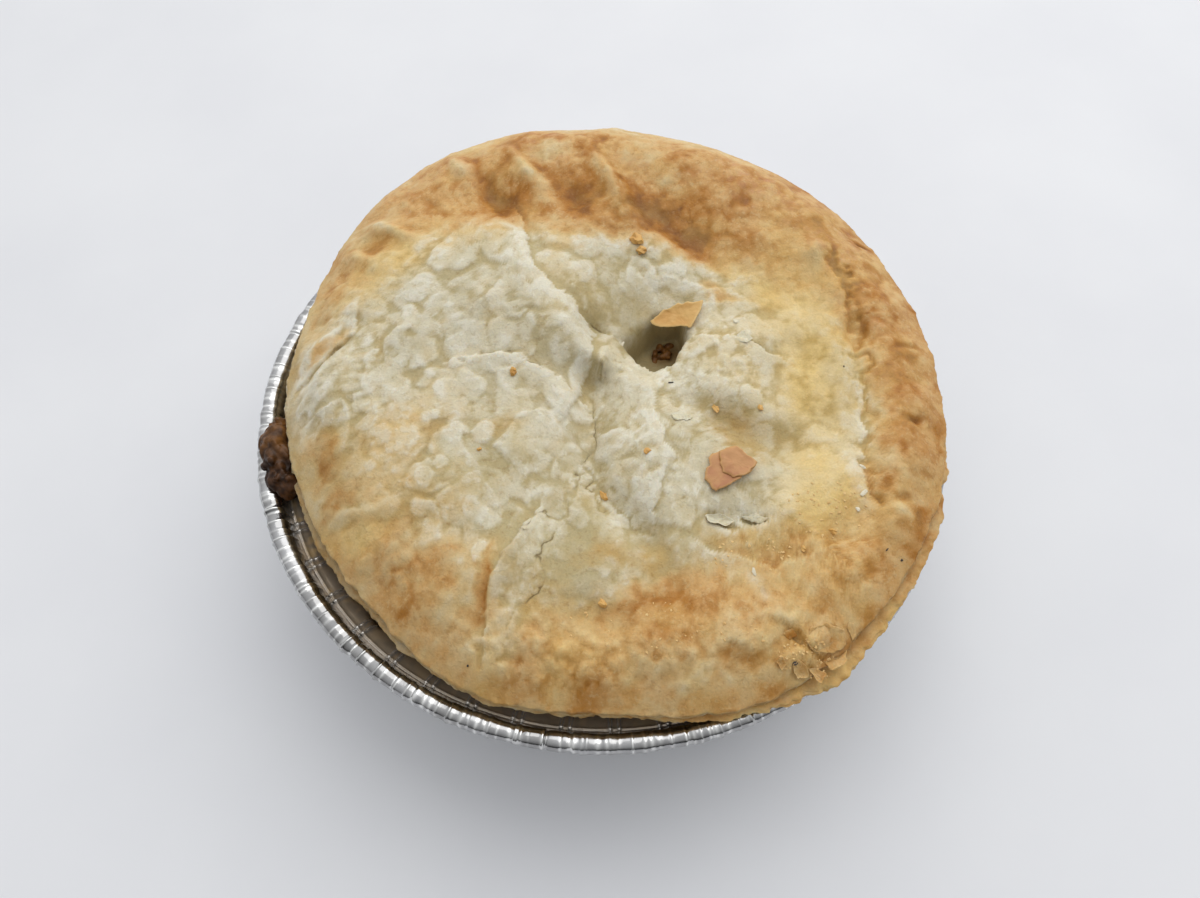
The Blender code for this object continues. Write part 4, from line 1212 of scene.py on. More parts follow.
# %% Pastry material
CREAM = linear(210, 201, 174)
PALE_GOLD = linear(211, 185, 136)
GOLD = linear(204, 162, 103)
BROWN = linear(176, 119, 45)
DEEP_BROWN = linear(138, 86, 17)
YELLOW = linear(226, 194, 120)
BLUSH = linear(186, 128, 96)
# The olive colour darkens damp paste and paints the shade in hollows.
OLIVE_AND_SHADE = linear(208, 194, 150)
# The flour colour is flour, and painted highlight on the high points.
FLOUR_AND_HIGHLIGHT = linear(226, 222, 206)
PORE = linear(206, 182, 140)
# The crack colour is painted shade in cracks and in the grooves between layers.
CRACK_SHADE = linear(120, 102, 66)
# The gravy colours of the vent also paint its shade, darkest near the mince under the flake.
GRAVY_AND_SHADE = linear(166, 150, 110)
GRAVY_DEEP_SHADE = linear(124, 96, 56)
BAKED_COLOURS = ((0.02, CREAM), (0.26, PALE_GOLD), (0.50, GOLD), (0.76, BROWN), (1.0, DEEP_BROWN))
TINTS = (
    ("yellow", 0.80, YELLOW, "MIX"),
    ("blush", 0.60, BLUSH, "MIX"),
    ("olive_and_shade", 0.75, OLIVE_AND_SHADE, "MULTIPLY"),
)


def pastry_material(name):
    """Layers of colour over the browning ramp, dry and rough, with flaky and crumbly bumps."""
    made, tree, shader = new_material(name)
    mottle, skin = soft_mottle(tree, 420.0, 0.3, 0.7), soft_mottle(tree, 520.0, 0.46, 0.52)
    grains, pores = soft_mottle(tree, 1500.0, 0.54, 0.66), soft_mottle(tree, 1050.0, 0.56, 0.70)
    grain = crumb_grain(tree, 950.0, 0.6)
    baked = sums(tree, "MULTIPLY_ADD", sums(tree, "SUBTRACT", mottle, 0.5), 0.10, mask_of(tree, "bake"))
    colour = ramp(tree, baked, *BAKED_COLOURS)
    browned = ranged(tree, baked, 0.30, 0.55, 0.0, 0.38)
    below_dark = ranged(tree, baked, 0.58, 0.76, 1.0, 0.25)
    colour = mixed(tree, times(tree, times(tree, grains, browned), below_dark), colour, PALE_GOLD)
    colour = mixed(tree, times(tree, pores, 0.35), colour, PORE, "MULTIPLY")
    for mask_name, strength, tint, blend in TINTS:
        colour = mixed(tree, times(tree, mask_of(tree, mask_name), strength), colour, tint, blend)
    # Flour, and painted highlight on the high points of the lid.
    floured_and_lit = times(tree, sums(tree, "MULTIPLY_ADD", skin, 0.5, 0.5), mask_of(tree, "flour_and_highlight"))
    colour = mixed(tree, times(tree, floured_and_lit, 0.70), colour, FLOUR_AND_HIGHLIGHT)
    # A dark line of painted shade along each crack, and between the base crust's layers.
    apart = sums(tree, "ABSOLUTE", mask_of(tree, "tear"))
    wobble = sums(tree, "MULTIPLY_ADD", grain["Value"], -0.35, sums(tree, "ADD", apart, 0.17))
    cut = times(tree, ranged(tree, wobble, 0.20, 0.04), mask_of(tree, "tear_open"))
    colour = mixed(tree, times(tree, cut, 0.7), colour, CRACK_SHADE)
    # Gravy, and painted shade on the vent's walls and floor, darkest near the mince.
    colour = mixed(tree, mask_of(tree, "gravy_and_shade"), colour, GRAVY_AND_SHADE)
    colour = mixed(tree, ranged(tree, mask_of(tree, "depth"), 0.2, 1.0), colour, GRAVY_DEEP_SHADE)
    speckle = ranged(tree, grain["Value"], 0.3, 0.7, 0.93, 1.05)
    tone = add(tree, "ShaderNodeCombineColor", {0: speckle, 1: speckle, 2: speckle}).outputs[0]
    flaked = sums(tree, "MULTIPLY_ADD", skin, 0.5, grain["Height"])
    feed(tree, shader, {
        "Base Color": mixed(tree, 1.0, colour, tone, "MULTIPLY"),
        "Roughness": ranged(tree, baked, 0.0, 1.0, 0.72, 0.50),
        "Normal": bumped(tree, sums(tree, "MULTIPLY_ADD", cut, -1.5, flaked), 0.5, 0.00015),
        "Specular IOR Level": 0.30,
        "Subsurface Weight": 0.25,
        "Subsurface Radius": (1.0, 0.7, 0.4),
        "Subsurface Scale": 0.0012,
    })
    return made


pastry = pastry_material("baked_pastry")
lid.data.materials.append(pastry)
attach(lid, "root")
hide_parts("pastry_crust")

# %% [markdown]
# The base crust
#
# Under the lid lies the base crust: a flange that rests on the tin's lip, a wall that lines the tin, and a
# floor. At the front left it has shrunk away from the foil. It is a profile carried round the circle, whose
# radii and heights change with the angle.

# %% Base crust
CRUST_COLUMNS = 900
FLANGE_REST = TIN_HEIGHT + 0.0004
CRUST_WALL = 3.2 * MM
CRUST_BAKE = (0.52, 0.56, 0.62, 0.52, 0.14, 0.14, 0.44, 0.52)
CRUST_LAYER = 0.55 * MM
CRUST_LAYER_DEPTH = 0.10 * MM
CRUMBLY_SIDE = (math.radians(292), math.radians(40))


def base_crust_rows(theta):
    """Radius and height of each row of the profile, from under the lid out over the flange, down and in."""
    edge_height = around(theta, EDGE_HEIGHTS)
    jag = fractal(MEAN_RADIUS * np.cos(theta), MEAN_RADIUS * np.sin(theta), 3.0 * MM, 5, seed=71)
    corner_angle, corner_spread, corner_reach = CORNER
    flange = around(theta, OUTLINE_RADII) + around(theta, FLANGE_OUTSETS) + 0.38 * MM * jag
    flange = flange + corner_reach * angle_bump(theta, corner_angle, corner_spread)
    flange = flange + 0.8 * MM * angle_bump(theta, math.radians(214), math.radians(28))
    over_lip = np.where(flange > 56 * MM, FLANGE_REST, 0)
    rest = np.maximum(edge_height - 3.6 * MM, over_lip)
    gap = np.maximum(around(theta, SHRINK_GAPS), 0)
    neck = np.minimum(54.3 * MM, flange - 1.5 * MM) - gap
    wall = TIN_WALL_TOP_RADIUS - TIN_FOIL - TIN_FLUTE_DEPTH - 0.6 * MM
    seam = edge_height - 1.9 * MM
    floor = TIN_BASE_RADIUS - 0.3 * MM
    rows = [
        (flange - 8.0 * MM, seam - 0.3 * MM),
        (flange - 2.0 * MM, seam - 0.1 * MM),
        (flange - 0.9 * MM, seam),
        (flange - 0.3 * MM, seam - 0.15 * MM),
        (flange, seam - 0.4 * MM),
        (flange - 0.1 * MM, 0.55 * seam + 0.45 * rest),
        (flange - 0.2 * MM, rest + 0.45 * MM),
        (flange - 0.6 * MM, rest + 0.1 * MM),
        (flange - 1.5 * MM, rest),
        (neck, rest),
        (neck - 0.3 * MM, TIN_LEDGE_HEIGHT + 1.4 * MM),
        (wall - gap, TIN_LEDGE_HEIGHT - 1.4 * MM),
        (wall - 4.5 * MM - 0.7 * gap, 12.1 * MM),
        (floor - 0.3 * gap, 3.2 * MM),
        (floor - 2.0 * MM - 0.2 * gap, 1.2 * MM),
        (floor - 14.0 * MM, 1.2 * MM),
        (20.0 * MM, 1.2 * MM),
        (20.0 * MM, 4.6 * MM),
        (floor - 12.0 * MM, 4.6 * MM),
        (floor - 5.5 * MM, 5.6 * MM),
        (wall - 4.5 * MM - 0.7 * gap - CRUST_WALL, 12.6 * MM),
        (wall - gap - CRUST_WALL - 0.6 * MM, TIN_LEDGE_HEIGHT - 2.0 * MM),
        (wall - gap - CRUST_WALL - 0.6 * MM, TIN_LEDGE_HEIGHT + 2.4 * MM),
    ]
    return (np.array([np.broadcast_to(row[part], theta.shape) for row in rows]) for part in (0, 1))


def between_rows(rows, extra):
    """More rows: so many even steps between each row and the next."""
    steps = np.linspace(0, 1, extra, endpoint=False)[:, None]
    filled = rows[:-1, None] * (1 - steps) + rows[1:, None] * steps
    return np.concatenate([filled.reshape(-1, rows.shape[1]), rows[-1:]])


crust_theta = np.arange(CRUST_COLUMNS) * TURN / CRUST_COLUMNS
crust_radius, crust_height = (between_rows(rows, 3) for rows in base_crust_rows(crust_theta))
arc = 56 * MM * crust_theta[None]
down = np.cumsum(np.hypot(np.gradient(crust_radius, axis=0), np.gradient(crust_height, axis=0)), axis=0)
crumbly = 1 + 1.2 * angle_bump(crust_theta, *CRUMBLY_SIDE)[None]
wear = 0.24 * MM * crumbly * (fractal(arc, down, 1.8 * MM, 4, seed=73) + shards(arc, down, 1.3 * MM, 74))
layer_phase = TURN * crust_height / CRUST_LAYER + 2.0 * fractal(arc, down, 8 * MM, 2, seed=75)
layered = CRUST_LAYER_DEPTH * np.sin(layer_phase)
shown = smooth_step(27 * MM, 29 * MM, crust_height)
crust_points = polar(crust_radius + wear + layered * shown, crust_theta[None], crust_height + 0.5 * wear)
crust_points = np.concatenate([crust_points, crust_points[:1]])
crust_quads = ring_quads(len(crust_points), CRUST_COLUMNS)
crust_quads[crust_quads >= (len(crust_points) - 1) * CRUST_COLUMNS] -= (len(crust_points) - 1) * CRUST_COLUMNS
base_crust = mesh_object("base_crust", crust_points[:-1], crust_quads)

# %% [markdown]
# The flange is pale at the left, greyed there by painted shade and tinted pink, and yellow to brown at the
# front right, where it baked on the lip. Lower down, hidden in the tin, it is plain gold.


# %% Masks and finish of the base crust
def paint_base_crust():
    """Browning by angle, with streaks along the layers, painted shade in the grooves between them, and
    painted shade that greys the left.
    """
    theta = np.broadcast_to(crust_theta[None], crust_radius.shape)
    bake = around(theta, CRUST_BAKE) + 0.20 * fractal(arc, 2 * down, 2.0 * MM, 4, seed=76)
    patches = fractal(arc, down, 2.4 * MM, 3, seed=77)
    yellow = (0.45 + 0.5 * patches) * angle_bump(theta, math.radians(300), math.radians(40))
    # Painted shade greys the left and the blush tints it pink.
    damp_and_shade = angle_bump(theta, math.radians(210), math.radians(50))
    # Painted shade in the grooves between the layers, drawn as crack lines.
    between_layers = 0.6 * shown * smooth_step(0.2, 1.0, -layered / CRUST_LAYER_DEPTH)
    masks = {"bake": bake, "yellow": yellow, "blush": 0.4 * damp_and_shade, "olive_and_shade": damp_and_shade, "tear": 1 - between_layers}
    masks["tear_open"] = np.ones(theta.shape)
    for name, values in masks.items():
        give_mask(base_crust, name, np.clip(values, 0, 1))
    for name in ("flour_and_highlight", "gravy_and_shade", "depth"):
        give_mask(base_crust, name, np.zeros(theta.shape))


paint_base_crust()
base_crust.data.materials.append(pastry)
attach(base_crust, "root")
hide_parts("pastry_crust")

# %% [markdown]
# The foil tin
#
# Foil is pressed from a flat sheet, so its spare length has to go somewhere: into flutes down the wall and
# into fine crimps round the rolled lip. The tin is one profile, rounded by corner cutting, carried round the
# circle. Crimps push it along the profile's normal.

# %% Foil tin
TIN_COLUMNS = 2880
CRIMP_COUNT = 300
CRIMP_DEPTHS = (0.03 * MM, 0.20 * MM)
CRIMP_SPREADS = (math.radians(0.11), math.radians(0.30))
FACET_STEP = 0.18 * MM
FACET_TWIST = 0.16
CREASES_INWARD = 0.65
LIP_MIDDLE_HEIGHT = 28.6 * MM
RIB_HEIGHT = 0.42 * MM
RIB_SPREAD = 0.0055
RIB_APART = 0.012


def tin_profile():
    """Radius, height, share of the flutes, share of the lip's crimps and share of the ledge's ribs."""
    wall_top, ledge, lip = TIN_WALL_TOP_RADIUS, TIN_LEDGE_HEIGHT, TIN_LIP_RADIUS
    base, foil, top = TIN_BASE_RADIUS, TIN_FOIL, TIN_HEIGHT
    return np.array(
        [
            (base - 0.0060, 0.0, 0, 0, 0),
            (base, 0.0, 0, 0, 0),
            (base + 0.0011, 0.0010, 0.4, 0, 0),
            (wall_top, ledge - 0.0010, 1, 0, 0),
            (lip - 0.0032, ledge, 0, 0.3, 0),
            (lip - 0.0024, ledge + 0.0014, 0, 0.8, 0),
            (lip - 0.0009, ledge + 0.0016, 0, 1, 0),
            (lip, top - 0.0018, 0, 1, 0),
            (lip - 0.0003, top - 0.0002, 0, 1, 0),
            (lip - 0.0017, top + 0.0001, 0, 1, 0),
            (lip - 0.0029, top - 0.0005, 0, 0.9, 0),
            (lip - 0.0033, top - 0.0026, 0, 0.4, 0),
            (lip - 0.0038, ledge + 0.0009, 0, 0.1, 0.6),
            (lip - 0.0041, ledge + 0.0014, 0, 0.1, 0.8),
            (lip - 0.0044, ledge + 0.0008, 0, 0.0, 0.9),
            (lip - 0.0050, ledge + 0.0007, 0, 0, 1),
            (wall_top - 0.0002, ledge, 0.3, 0, 1),
            (wall_top - foil - 0.0001, ledge - 0.0014, 1, 0, 0),
            (base + 0.0002, 0.0015, 0.4, 0, 0),
            (base - 0.0008, foil, 0, 0, 0),
            (base - 0.0060, foil, 0, 0, 0),
        ]
    )


def corners_cut(rows, rounds):
    """Each round swaps every inner corner for two points, a quarter and three quarters along its runs."""
    for _ in range(rounds):
        quarter = 0.75 * rows[:-1] + 0.25 * rows[1:]
        three = 0.25 * rows[:-1] + 0.75 * rows[1:]
        cut = np.stack([quarter, three], 1).reshape(-1, rows.shape[1])
        rows = np.concatenate([rows[:1], cut[1:-1], rows[-1:]])
    return rows


def round_bumps(theta, places, spreads, heights):
    """Sum of narrow bumps round the circle: height times exp(-(angle apart / spread)^2)."""
    apart = np.mod(theta[:, None] - places[None] + math.pi, TURN) - math.pi
    return (heights * np.exp(-((apart / spreads) ** 2))).sum(1)


def lip_crimps(theta):
    """Creases at uneven steps round the lip, deeper at the front left, with a flat facet between each two. A
    facet's ends stand at random offsets and twists, so that each catches the light in its own way. Gives the
    push along the normal, the twist, and a painted highlight along each crease."""
    draw = np.random.default_rng(11)
    steps = np.cumsum(draw.uniform(0.30, 1.70, CRIMP_COUNT))
    places = steps * TURN / steps[-1]
    crowd = 0.45 + 0.55 * angle_bump(places, math.radians(235), math.radians(110))
    depths = draw.uniform(*CRIMP_DEPTHS, CRIMP_COUNT) * crowd
    offsets = FACET_STEP * draw.uniform(-1, 1, CRIMP_COUNT) * crowd
    facets = np.interp(theta, places, offsets, period=TURN)
    depths *= np.where(draw.uniform(0, 1, CRIMP_COUNT) < CREASES_INWARD, -1.0, 1.0)
    twist = np.interp(theta, places, FACET_TWIST * draw.uniform(-1, 1, CRIMP_COUNT), period=TURN)
    spreads = draw.uniform(*CRIMP_SPREADS, CRIMP_COUNT)
    painted_highlight = round_bumps(theta, places, 1.2 * spreads, draw.uniform(0.2, 1.0, CRIMP_COUNT))
    return facets - round_bumps(theta, places, spreads, depths), twist, np.clip(painted_highlight, 0, 1)


def ledge_ribs(theta):
    """A pair of fine ridges at every flute."""
    middles = np.arange(TIN_FLUTES) * TURN / TIN_FLUTES
    places = np.concatenate([middles - RIB_APART, middles + RIB_APART])
    return round_bumps(theta, places, RIB_SPREAD, RIB_HEIGHT)


tin_theta = np.arange(TIN_COLUMNS) * TURN / TIN_COLUMNS
corners = tin_profile()
profile = np.concatenate([corners[:3], corners_cut(corners[3:18], 1), corners[18:]])
radius, height, fluted, lipped, ribbed = (profile[:, [column]] for column in range(5))
run = np.gradient(profile[:, :2], axis=0)
run /= np.linalg.norm(run, axis=1)[:, None]
outward_r, outward_z = run[:, [1]], -run[:, [0]]
bend = sum(shift * angle_bump(tin_theta, centre, spread) for centre, spread, shift in TIN_BENDS)
flutes = TIN_FLUTE_DEPTH * np.cos(TIN_FLUTES * tin_theta)
creases = 0.10 * MM * fractal(60 * MM * tin_theta, 0 * tin_theta, 2.0 * MM, 3, seed=81)
crimps, twist, crease_highlight = lip_crimps(tin_theta)
ribs = ledge_ribs(tin_theta)
push = lipped * (crimps[None] + (height - LIP_MIDDLE_HEIGHT) * twist[None]) + ribbed * ribs[None]
dents = fractal(tin_theta[None] * 55 * MM, 1.5 * (height + radius), 3.2 * MM, 3, seed=82)
push = push + 0.06 * MM * dents * smooth_step(2 * MM, 5 * MM, height)
share_of_bend = np.clip(lipped + 0.2 * ribbed, 0, 1)
tin_radius = radius + fluted * (flutes + creases)[None] + share_of_bend * bend[None] + push * outward_r
tin_points = polar(tin_radius, tin_theta[None], height + push * outward_z).reshape(-1, 3)
tin_points = np.concatenate([tin_points, [[0, 0, 0], [0, 0, TIN_FOIL]]])
outer_pole, inner_pole = len(tin_points) - 2, len(tin_points) - 1
tin_quads = ring_quads(len(profile), TIN_COLUMNS)[:, ::-1]
first_ring = np.arange(TIN_COLUMNS)
last_tin_ring = (len(profile) - 1) * TIN_COLUMNS + first_ring
tin_poles = fan(first_ring[::-1], outer_pole), fan(last_tin_ring, inner_pole)
foil_tin = mesh_object("crimped_foil_tin", tin_points, tin_quads, *tin_poles)

# %% Foil material
def foil_material():
    """Metal kept darker than foil, as a painted reflection of a dark room, with faint rolling marks; a
    painted highlight on creases, ribs, the lip's inner edge and the outer wall; and where the residue mask
    says, a dull brown that is spilt fat and gravy and a painted reflection of the crust.
    """
    made, tree, shader = new_material("tin_foil")
    residue_and_reflection = mask_of(tree, "residue_and_reflection")
    mottle = soft_mottle(tree, 160.0, 0.3, 0.7)
    # The metal is kept darker than foil, as a painted reflection of the dark room round it.
    metal = mixed(tree, mottle, linear(152, 151, 150), linear(176, 176, 177))
    metal = mixed(tree, mask_of(tree, "painted_highlight"), metal, linear(240, 240, 238))
    feed(tree, shader, {
        "Base Color": mixed(tree, residue_and_reflection, metal, linear(178, 152, 112)),
        "Roughness": ranged(tree, mottle, 0.0, 1.0, 0.12, 0.26),
        "Normal": bumped(tree, mottle, 0.15, 0.0003),
        "Metallic": sums(tree, "MULTIPLY_ADD", residue_and_reflection, -0.9, 1.0),
    })
    return made


tin_angle = np.broadcast_to(tin_theta[None], tin_radius.shape)
# Inside the lip the foil is painted a dull brown, partly spilt fat and gravy in drips and spatter, and partly
# a painted reflection of the crust.
past_the_lip = np.arange(len(profile))[:, None] > np.argmax(height)
inside = past_the_lip * (1 - smooth_step(55.5 * MM, 57.0 * MM, tin_radius))
outer_wall = 0.45 * ~past_the_lip * smooth_step(27 * MM, 25 * MM, height)
drips = smooth_step(0.1, 0.6, fractal(tin_angle * 55 * MM, tin_radius, 3 * MM, 3, seed=83))
spatter = 0.5 * drips * angle_bump(tin_angle, math.radians(203), math.radians(24))
residue_and_reflection = inside * np.clip(0.60 + 0.15 * drips + spatter, 0, 1)
# Painted highlights: double strokes on the ribs, a line along the lip's inner edge, and the outer wall.
rib_highlight = ribbed * np.clip(ribs[None] / RIB_HEIGHT, 0, 1)
from_edge = (radius - 57.0 * MM) / (0.25 * MM)
inner_edge = 0.7 * np.exp(-(from_edge**2)) * smooth_step(28 * MM, 29 * MM, height)
painted_highlight = np.clip(lipped * crease_highlight[None] + rib_highlight + inner_edge + outer_wall, 0, 1)
give_mask(foil_tin, "residue_and_reflection", np.concatenate([(residue_and_reflection * (1 - 0.7 * rib_highlight)).ravel(), [0, 0]]))
give_mask(foil_tin, "painted_highlight", np.concatenate([painted_highlight.ravel(), [0, 0]]))
foil_tin.data.materials.append(foil_material())
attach(foil_tin, "root")
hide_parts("foil_tin")

# %% [markdown]
# Beef filling
#
# The filling is a plain body under the lid. Where it shows it is minced meat in gravy: small rounded bits
# stuck together. The bits are blobs scattered round the solid's own lumps, fused by a voxel remesh and then
# roughened along their normals.

# %% Filling core
FILLING_PROFILE = (
    (0.0140, 0.0289), (0.0280, 0.0284), (0.0400, 0.0270), (0.0445, 0.0252),
    (0.0455, 0.0220), (0.0430, 0.0120), (0.0400, 0.0062), (0.0360, 0.0054),
)
CORE_COLUMNS = 180
# Lumps: x, y, z and radius.
LEAK_LUMPS = (
    (-0.0440, -0.0085, 0.0272, 0.0030), (-0.0468, -0.0090, 0.0282, 0.0027),
    (-0.0496, -0.0096, 0.0288, 0.0026), (-0.0522, -0.0102, 0.0292, 0.0026),
    (-0.0573, -0.0076, 0.0314, 0.0019), (-0.0556, -0.0048, 0.0312, 0.0019),
    (-0.0560, -0.0078, 0.0318, 0.0024), (-0.0557, -0.0110, 0.0315, 0.0024),
    (-0.0540, -0.0094, 0.0302, 0.0027), (-0.0552, -0.0140, 0.0307, 0.0020),
    (-0.0533, -0.0146, 0.0300, 0.0024), (-0.0532, -0.0162, 0.0293, 0.0013),
)
NECK_LUMPS = 4
# Painted light: the leak is lighter towards the back, which faces the light, and darker at the front.
LEAK_SHADE_FRONT_TO_BACK = (-0.013, -0.004)
VENT_MINCE = (
    (0.0098, 0.0094, 0.0294, 0.0014), (0.0120, 0.0096, 0.0294, 0.0014), (0.0116, 0.0076, 0.0292, 0.0013),
    (0.0098, 0.0076, 0.0290, 0.0012), (0.0098, 0.0042, 0.0284, 0.0012), (0.0066, 0.0056, 0.0283, 0.0012),
)


def filling_core():
    """The core's profile carried round the circle, closed at both poles."""
    theta = np.arange(CORE_COLUMNS) * TURN / CORE_COLUMNS
    rows = between_rows(np.array(FILLING_PROFILE), 3)
    points = polar(rows[:, [0]], theta[None], rows[:, [1]])
    points[..., 2] += 0.15 * MM * fractal(points[..., 0], points[..., 1], 3 * MM, 2, seed=91)
    points = np.concatenate([points.reshape(-1, 3), [[0, 0, 0.0290], [0, 0, 0.0054]]])
    rings = len(rows)
    top, bottom = np.arange(CORE_COLUMNS), (rings - 1) * CORE_COLUMNS + np.arange(CORE_COLUMNS)
    poles = fan(top, rings * CORE_COLUMNS), fan(bottom[::-1], rings * CORE_COLUMNS + 1)
    return mesh_object("filling_core", points, ring_quads(rings, CORE_COLUMNS), *poles)


def grains_round(lumps, per_lump, small, seed):
    """Centres and radii of bits: inside each lump at random, each a share of its radius."""
    draw = np.random.default_rng(seed)
    lumps = np.repeat(np.array(lumps), per_lump, axis=0)
    turn, tilt = draw.uniform(0, TURN, len(lumps)), np.arccos(draw.uniform(-1, 1, len(lumps)))
    reach = lumps[:, 3] * draw.uniform(0.45, 0.92, len(lumps))
    away = polar(np.sin(tilt), turn, np.cos(tilt)) * reach[:, None]
    return lumps[:, :3] + away, lumps[:, 3] * draw.uniform(*small, len(lumps))


def unit_ball(rows, columns):
    """Points of a ball of radius 1 on rows of latitude, and its faces, closed at both poles."""
    tilt = np.linspace(0, math.pi, rows + 2)[1:-1, None]
    turn = np.arange(columns)[None] * TURN / columns
    body = polar(np.sin(tilt), turn, np.cos(tilt))
    points = np.concatenate([body.reshape(-1, 3), [[0, 0, 1], [0, 0, -1]]])
    first, last = np.arange(columns), (rows - 1) * columns + np.arange(columns)
    poles = fan(first, rows * columns), fan(last[::-1], rows * columns + 1)
    return points, ring_quads(rows, columns), np.concatenate(poles)


def many_balls(name, centres, radii, stretch, rows, columns):
    """One mesh of balls: the unit ball repeated for each centre, scaled by its radius and its own stretch."""
    ball, *faces = unit_ball(rows, columns)
    points = centres[:, None] + ball[None] * (radii[:, None] * stretch)[:, None]
    return mesh_object(name, points, *(repeated(part, len(centres), len(ball)) for part in faces))


def fused(made, voxel, roughness, size, seed):
    """Remesh to one skin, smooth it, then push each point along its normal by noise."""
    remesh = made.modifiers.new("fuse", "REMESH")
    remesh.mode = "VOXEL"
    remesh.voxel_size = voxel
    soften = made.modifiers.new("soften", "SMOOTH")
    soften.iterations = 5
    graph = bpy.context.evaluated_depsgraph_get()
    mesh = bpy.data.meshes.new_from_object(made.evaluated_get(graph))
    made.modifiers.clear()
    made.data = mesh
    points, normals = point_values(mesh, "co"), point_values(mesh, "normal")
    bump = fractal(points[:, 0] + points[:, 2], points[:, 1] - points[:, 2], size, 3, seed)
    mesh.vertices.foreach_set("co", (points + roughness * bump[:, None] * normals).ravel())
    mesh.shade_smooth()
    mesh.update()
    print(f"{made.name}: {len(points)} points after fusing")


core = filling_core()
bulk = np.array(LEAK_LUMPS)
bulk = np.concatenate([bulk, 0.5 * (bulk[:-1] + bulk[1:])])
leak_centres, leak_radii = grains_round(bulk[NECK_LUMPS:], 22, (0.18, 0.36), 21)
leak_centres = np.concatenate([leak_centres, bulk[:, :3]])
leak_radii = np.concatenate([leak_radii, 0.95 * bulk[:, 3]])
draw = np.random.default_rng(22)
leak_stretch = draw.uniform(0.75, 1.2, (len(leak_radii), 3))
leak = many_balls("leaked_mince", leak_centres, leak_radii, leak_stretch, 8, 12)
fused(leak, 0.20 * MM, 0.30 * MM, 1.3 * MM, 92)
mince_centres, mince_radii = grains_round(VENT_MINCE, 5, (0.35, 0.6), 23)
mince_stretch = draw.uniform(0.75, 1.2, (len(mince_radii), 3))
mince = many_balls("vent_mince", mince_centres + (0, 0, 1.0 * MM), mince_radii, mince_stretch, 8, 12)
fused(mince, 0.2 * MM, 0.08 * MM, 0.7 * MM, 93)


# %% Beef material
def beef_material():
    """Brown meat with a wet coat of gravy, painted lighter and more orange towards the back of the leak, as
    painted light, and darker at the front, as painted shade.
    """
    made, tree, shader = new_material("beef_in_gravy")
    place = add(tree, "ShaderNodeTexCoord").outputs["Object"]
    across_y = add(tree, "ShaderNodeSeparateXYZ", {0: place}).outputs[1]
    back = ranged(tree, across_y, *LEAK_SHADE_FRONT_TO_BACK)
    meat = mixed(tree, back, linear(86, 52, 22), linear(134, 90, 42))
    gravy_and_shade = mixed(tree, back, linear(42, 23, 9), linear(84, 52, 21))
    feed(tree, shader, {
        "Base Color": mixed(tree, soft_mottle(tree, 650.0, 0.35, 0.7), gravy_and_shade, meat),
        "Normal": bumped(tree, crumb_grain(tree, 1400.0, 0.5)["Height"], 0.5, 0.0002),
        "Roughness": 0.45,
        "Specular IOR Level": 0.2,
        "Coat Weight": 0.18,
        "Coat Roughness": 0.16,
    })
    return made


beef = beef_material()
for made in (core, leak, mince):
    made.data.materials.clear()
    made.data.materials.append(beef)
    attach(made, "root")
    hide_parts("beef_filling")

# %% [markdown]
# Loose flakes
#
# Two flakes broke off the top and lie on the lid. Each is a thin plate: rings of points that shrink towards
# the middle of a broken outline, above and below, curled up a little at the rim. They lie on the plane of
# the solid flake that they stand for.

# %% Loose flakes
GOLD_FLAKE = (
    (8.7, 10.8), (10.5, 12.2), (13.4, 13.1), (17.6, 13.1), (16.9, 10.4), (15.4, 8.4), (11.5, 9.0), (9.3, 9.6),
)
PINK_FLAKE = (
    (16.4, -17.5), (20.2, -16.0), (23.5, -19.1), (22.2, -20.7), (19.4, -22.3), (16.8, -23.7), (15.0, -21.4),
)
PINK_UPPER = ((17.6, -16.9), (20.2, -16.0), (23.5, -19.1), (22.2, -20.7), (19.8, -21.6), (17.9, -20.6))
FLAKE_COLUMNS = 120
FLAKE_RINGS = 14


def outline_ring(corners, columns, jag, seed):
    """Points along a closed outline, evenly by length, moved by a little noise so that it looks torn."""
    closed = np.array(list(corners) + [corners[0]]) * MM
    lengths = np.concatenate([[0], np.cumsum(np.hypot(*np.diff(closed, axis=0).T))])
    places = np.arange(columns) * lengths[-1] / columns
    x, y = np.interp(places, lengths, closed[:, 0]), np.interp(places, lengths, closed[:, 1])
    push_x, push_y = two_noises(x, y, 1.2 * MM, 3, seed)
    return x + jag * push_x, y + jag * push_y


def node_plane(node):
    """Slopes and height of the plane that best fits a CAD node's points."""
    return best_plane(*point_values(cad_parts[node].data, "co").T)


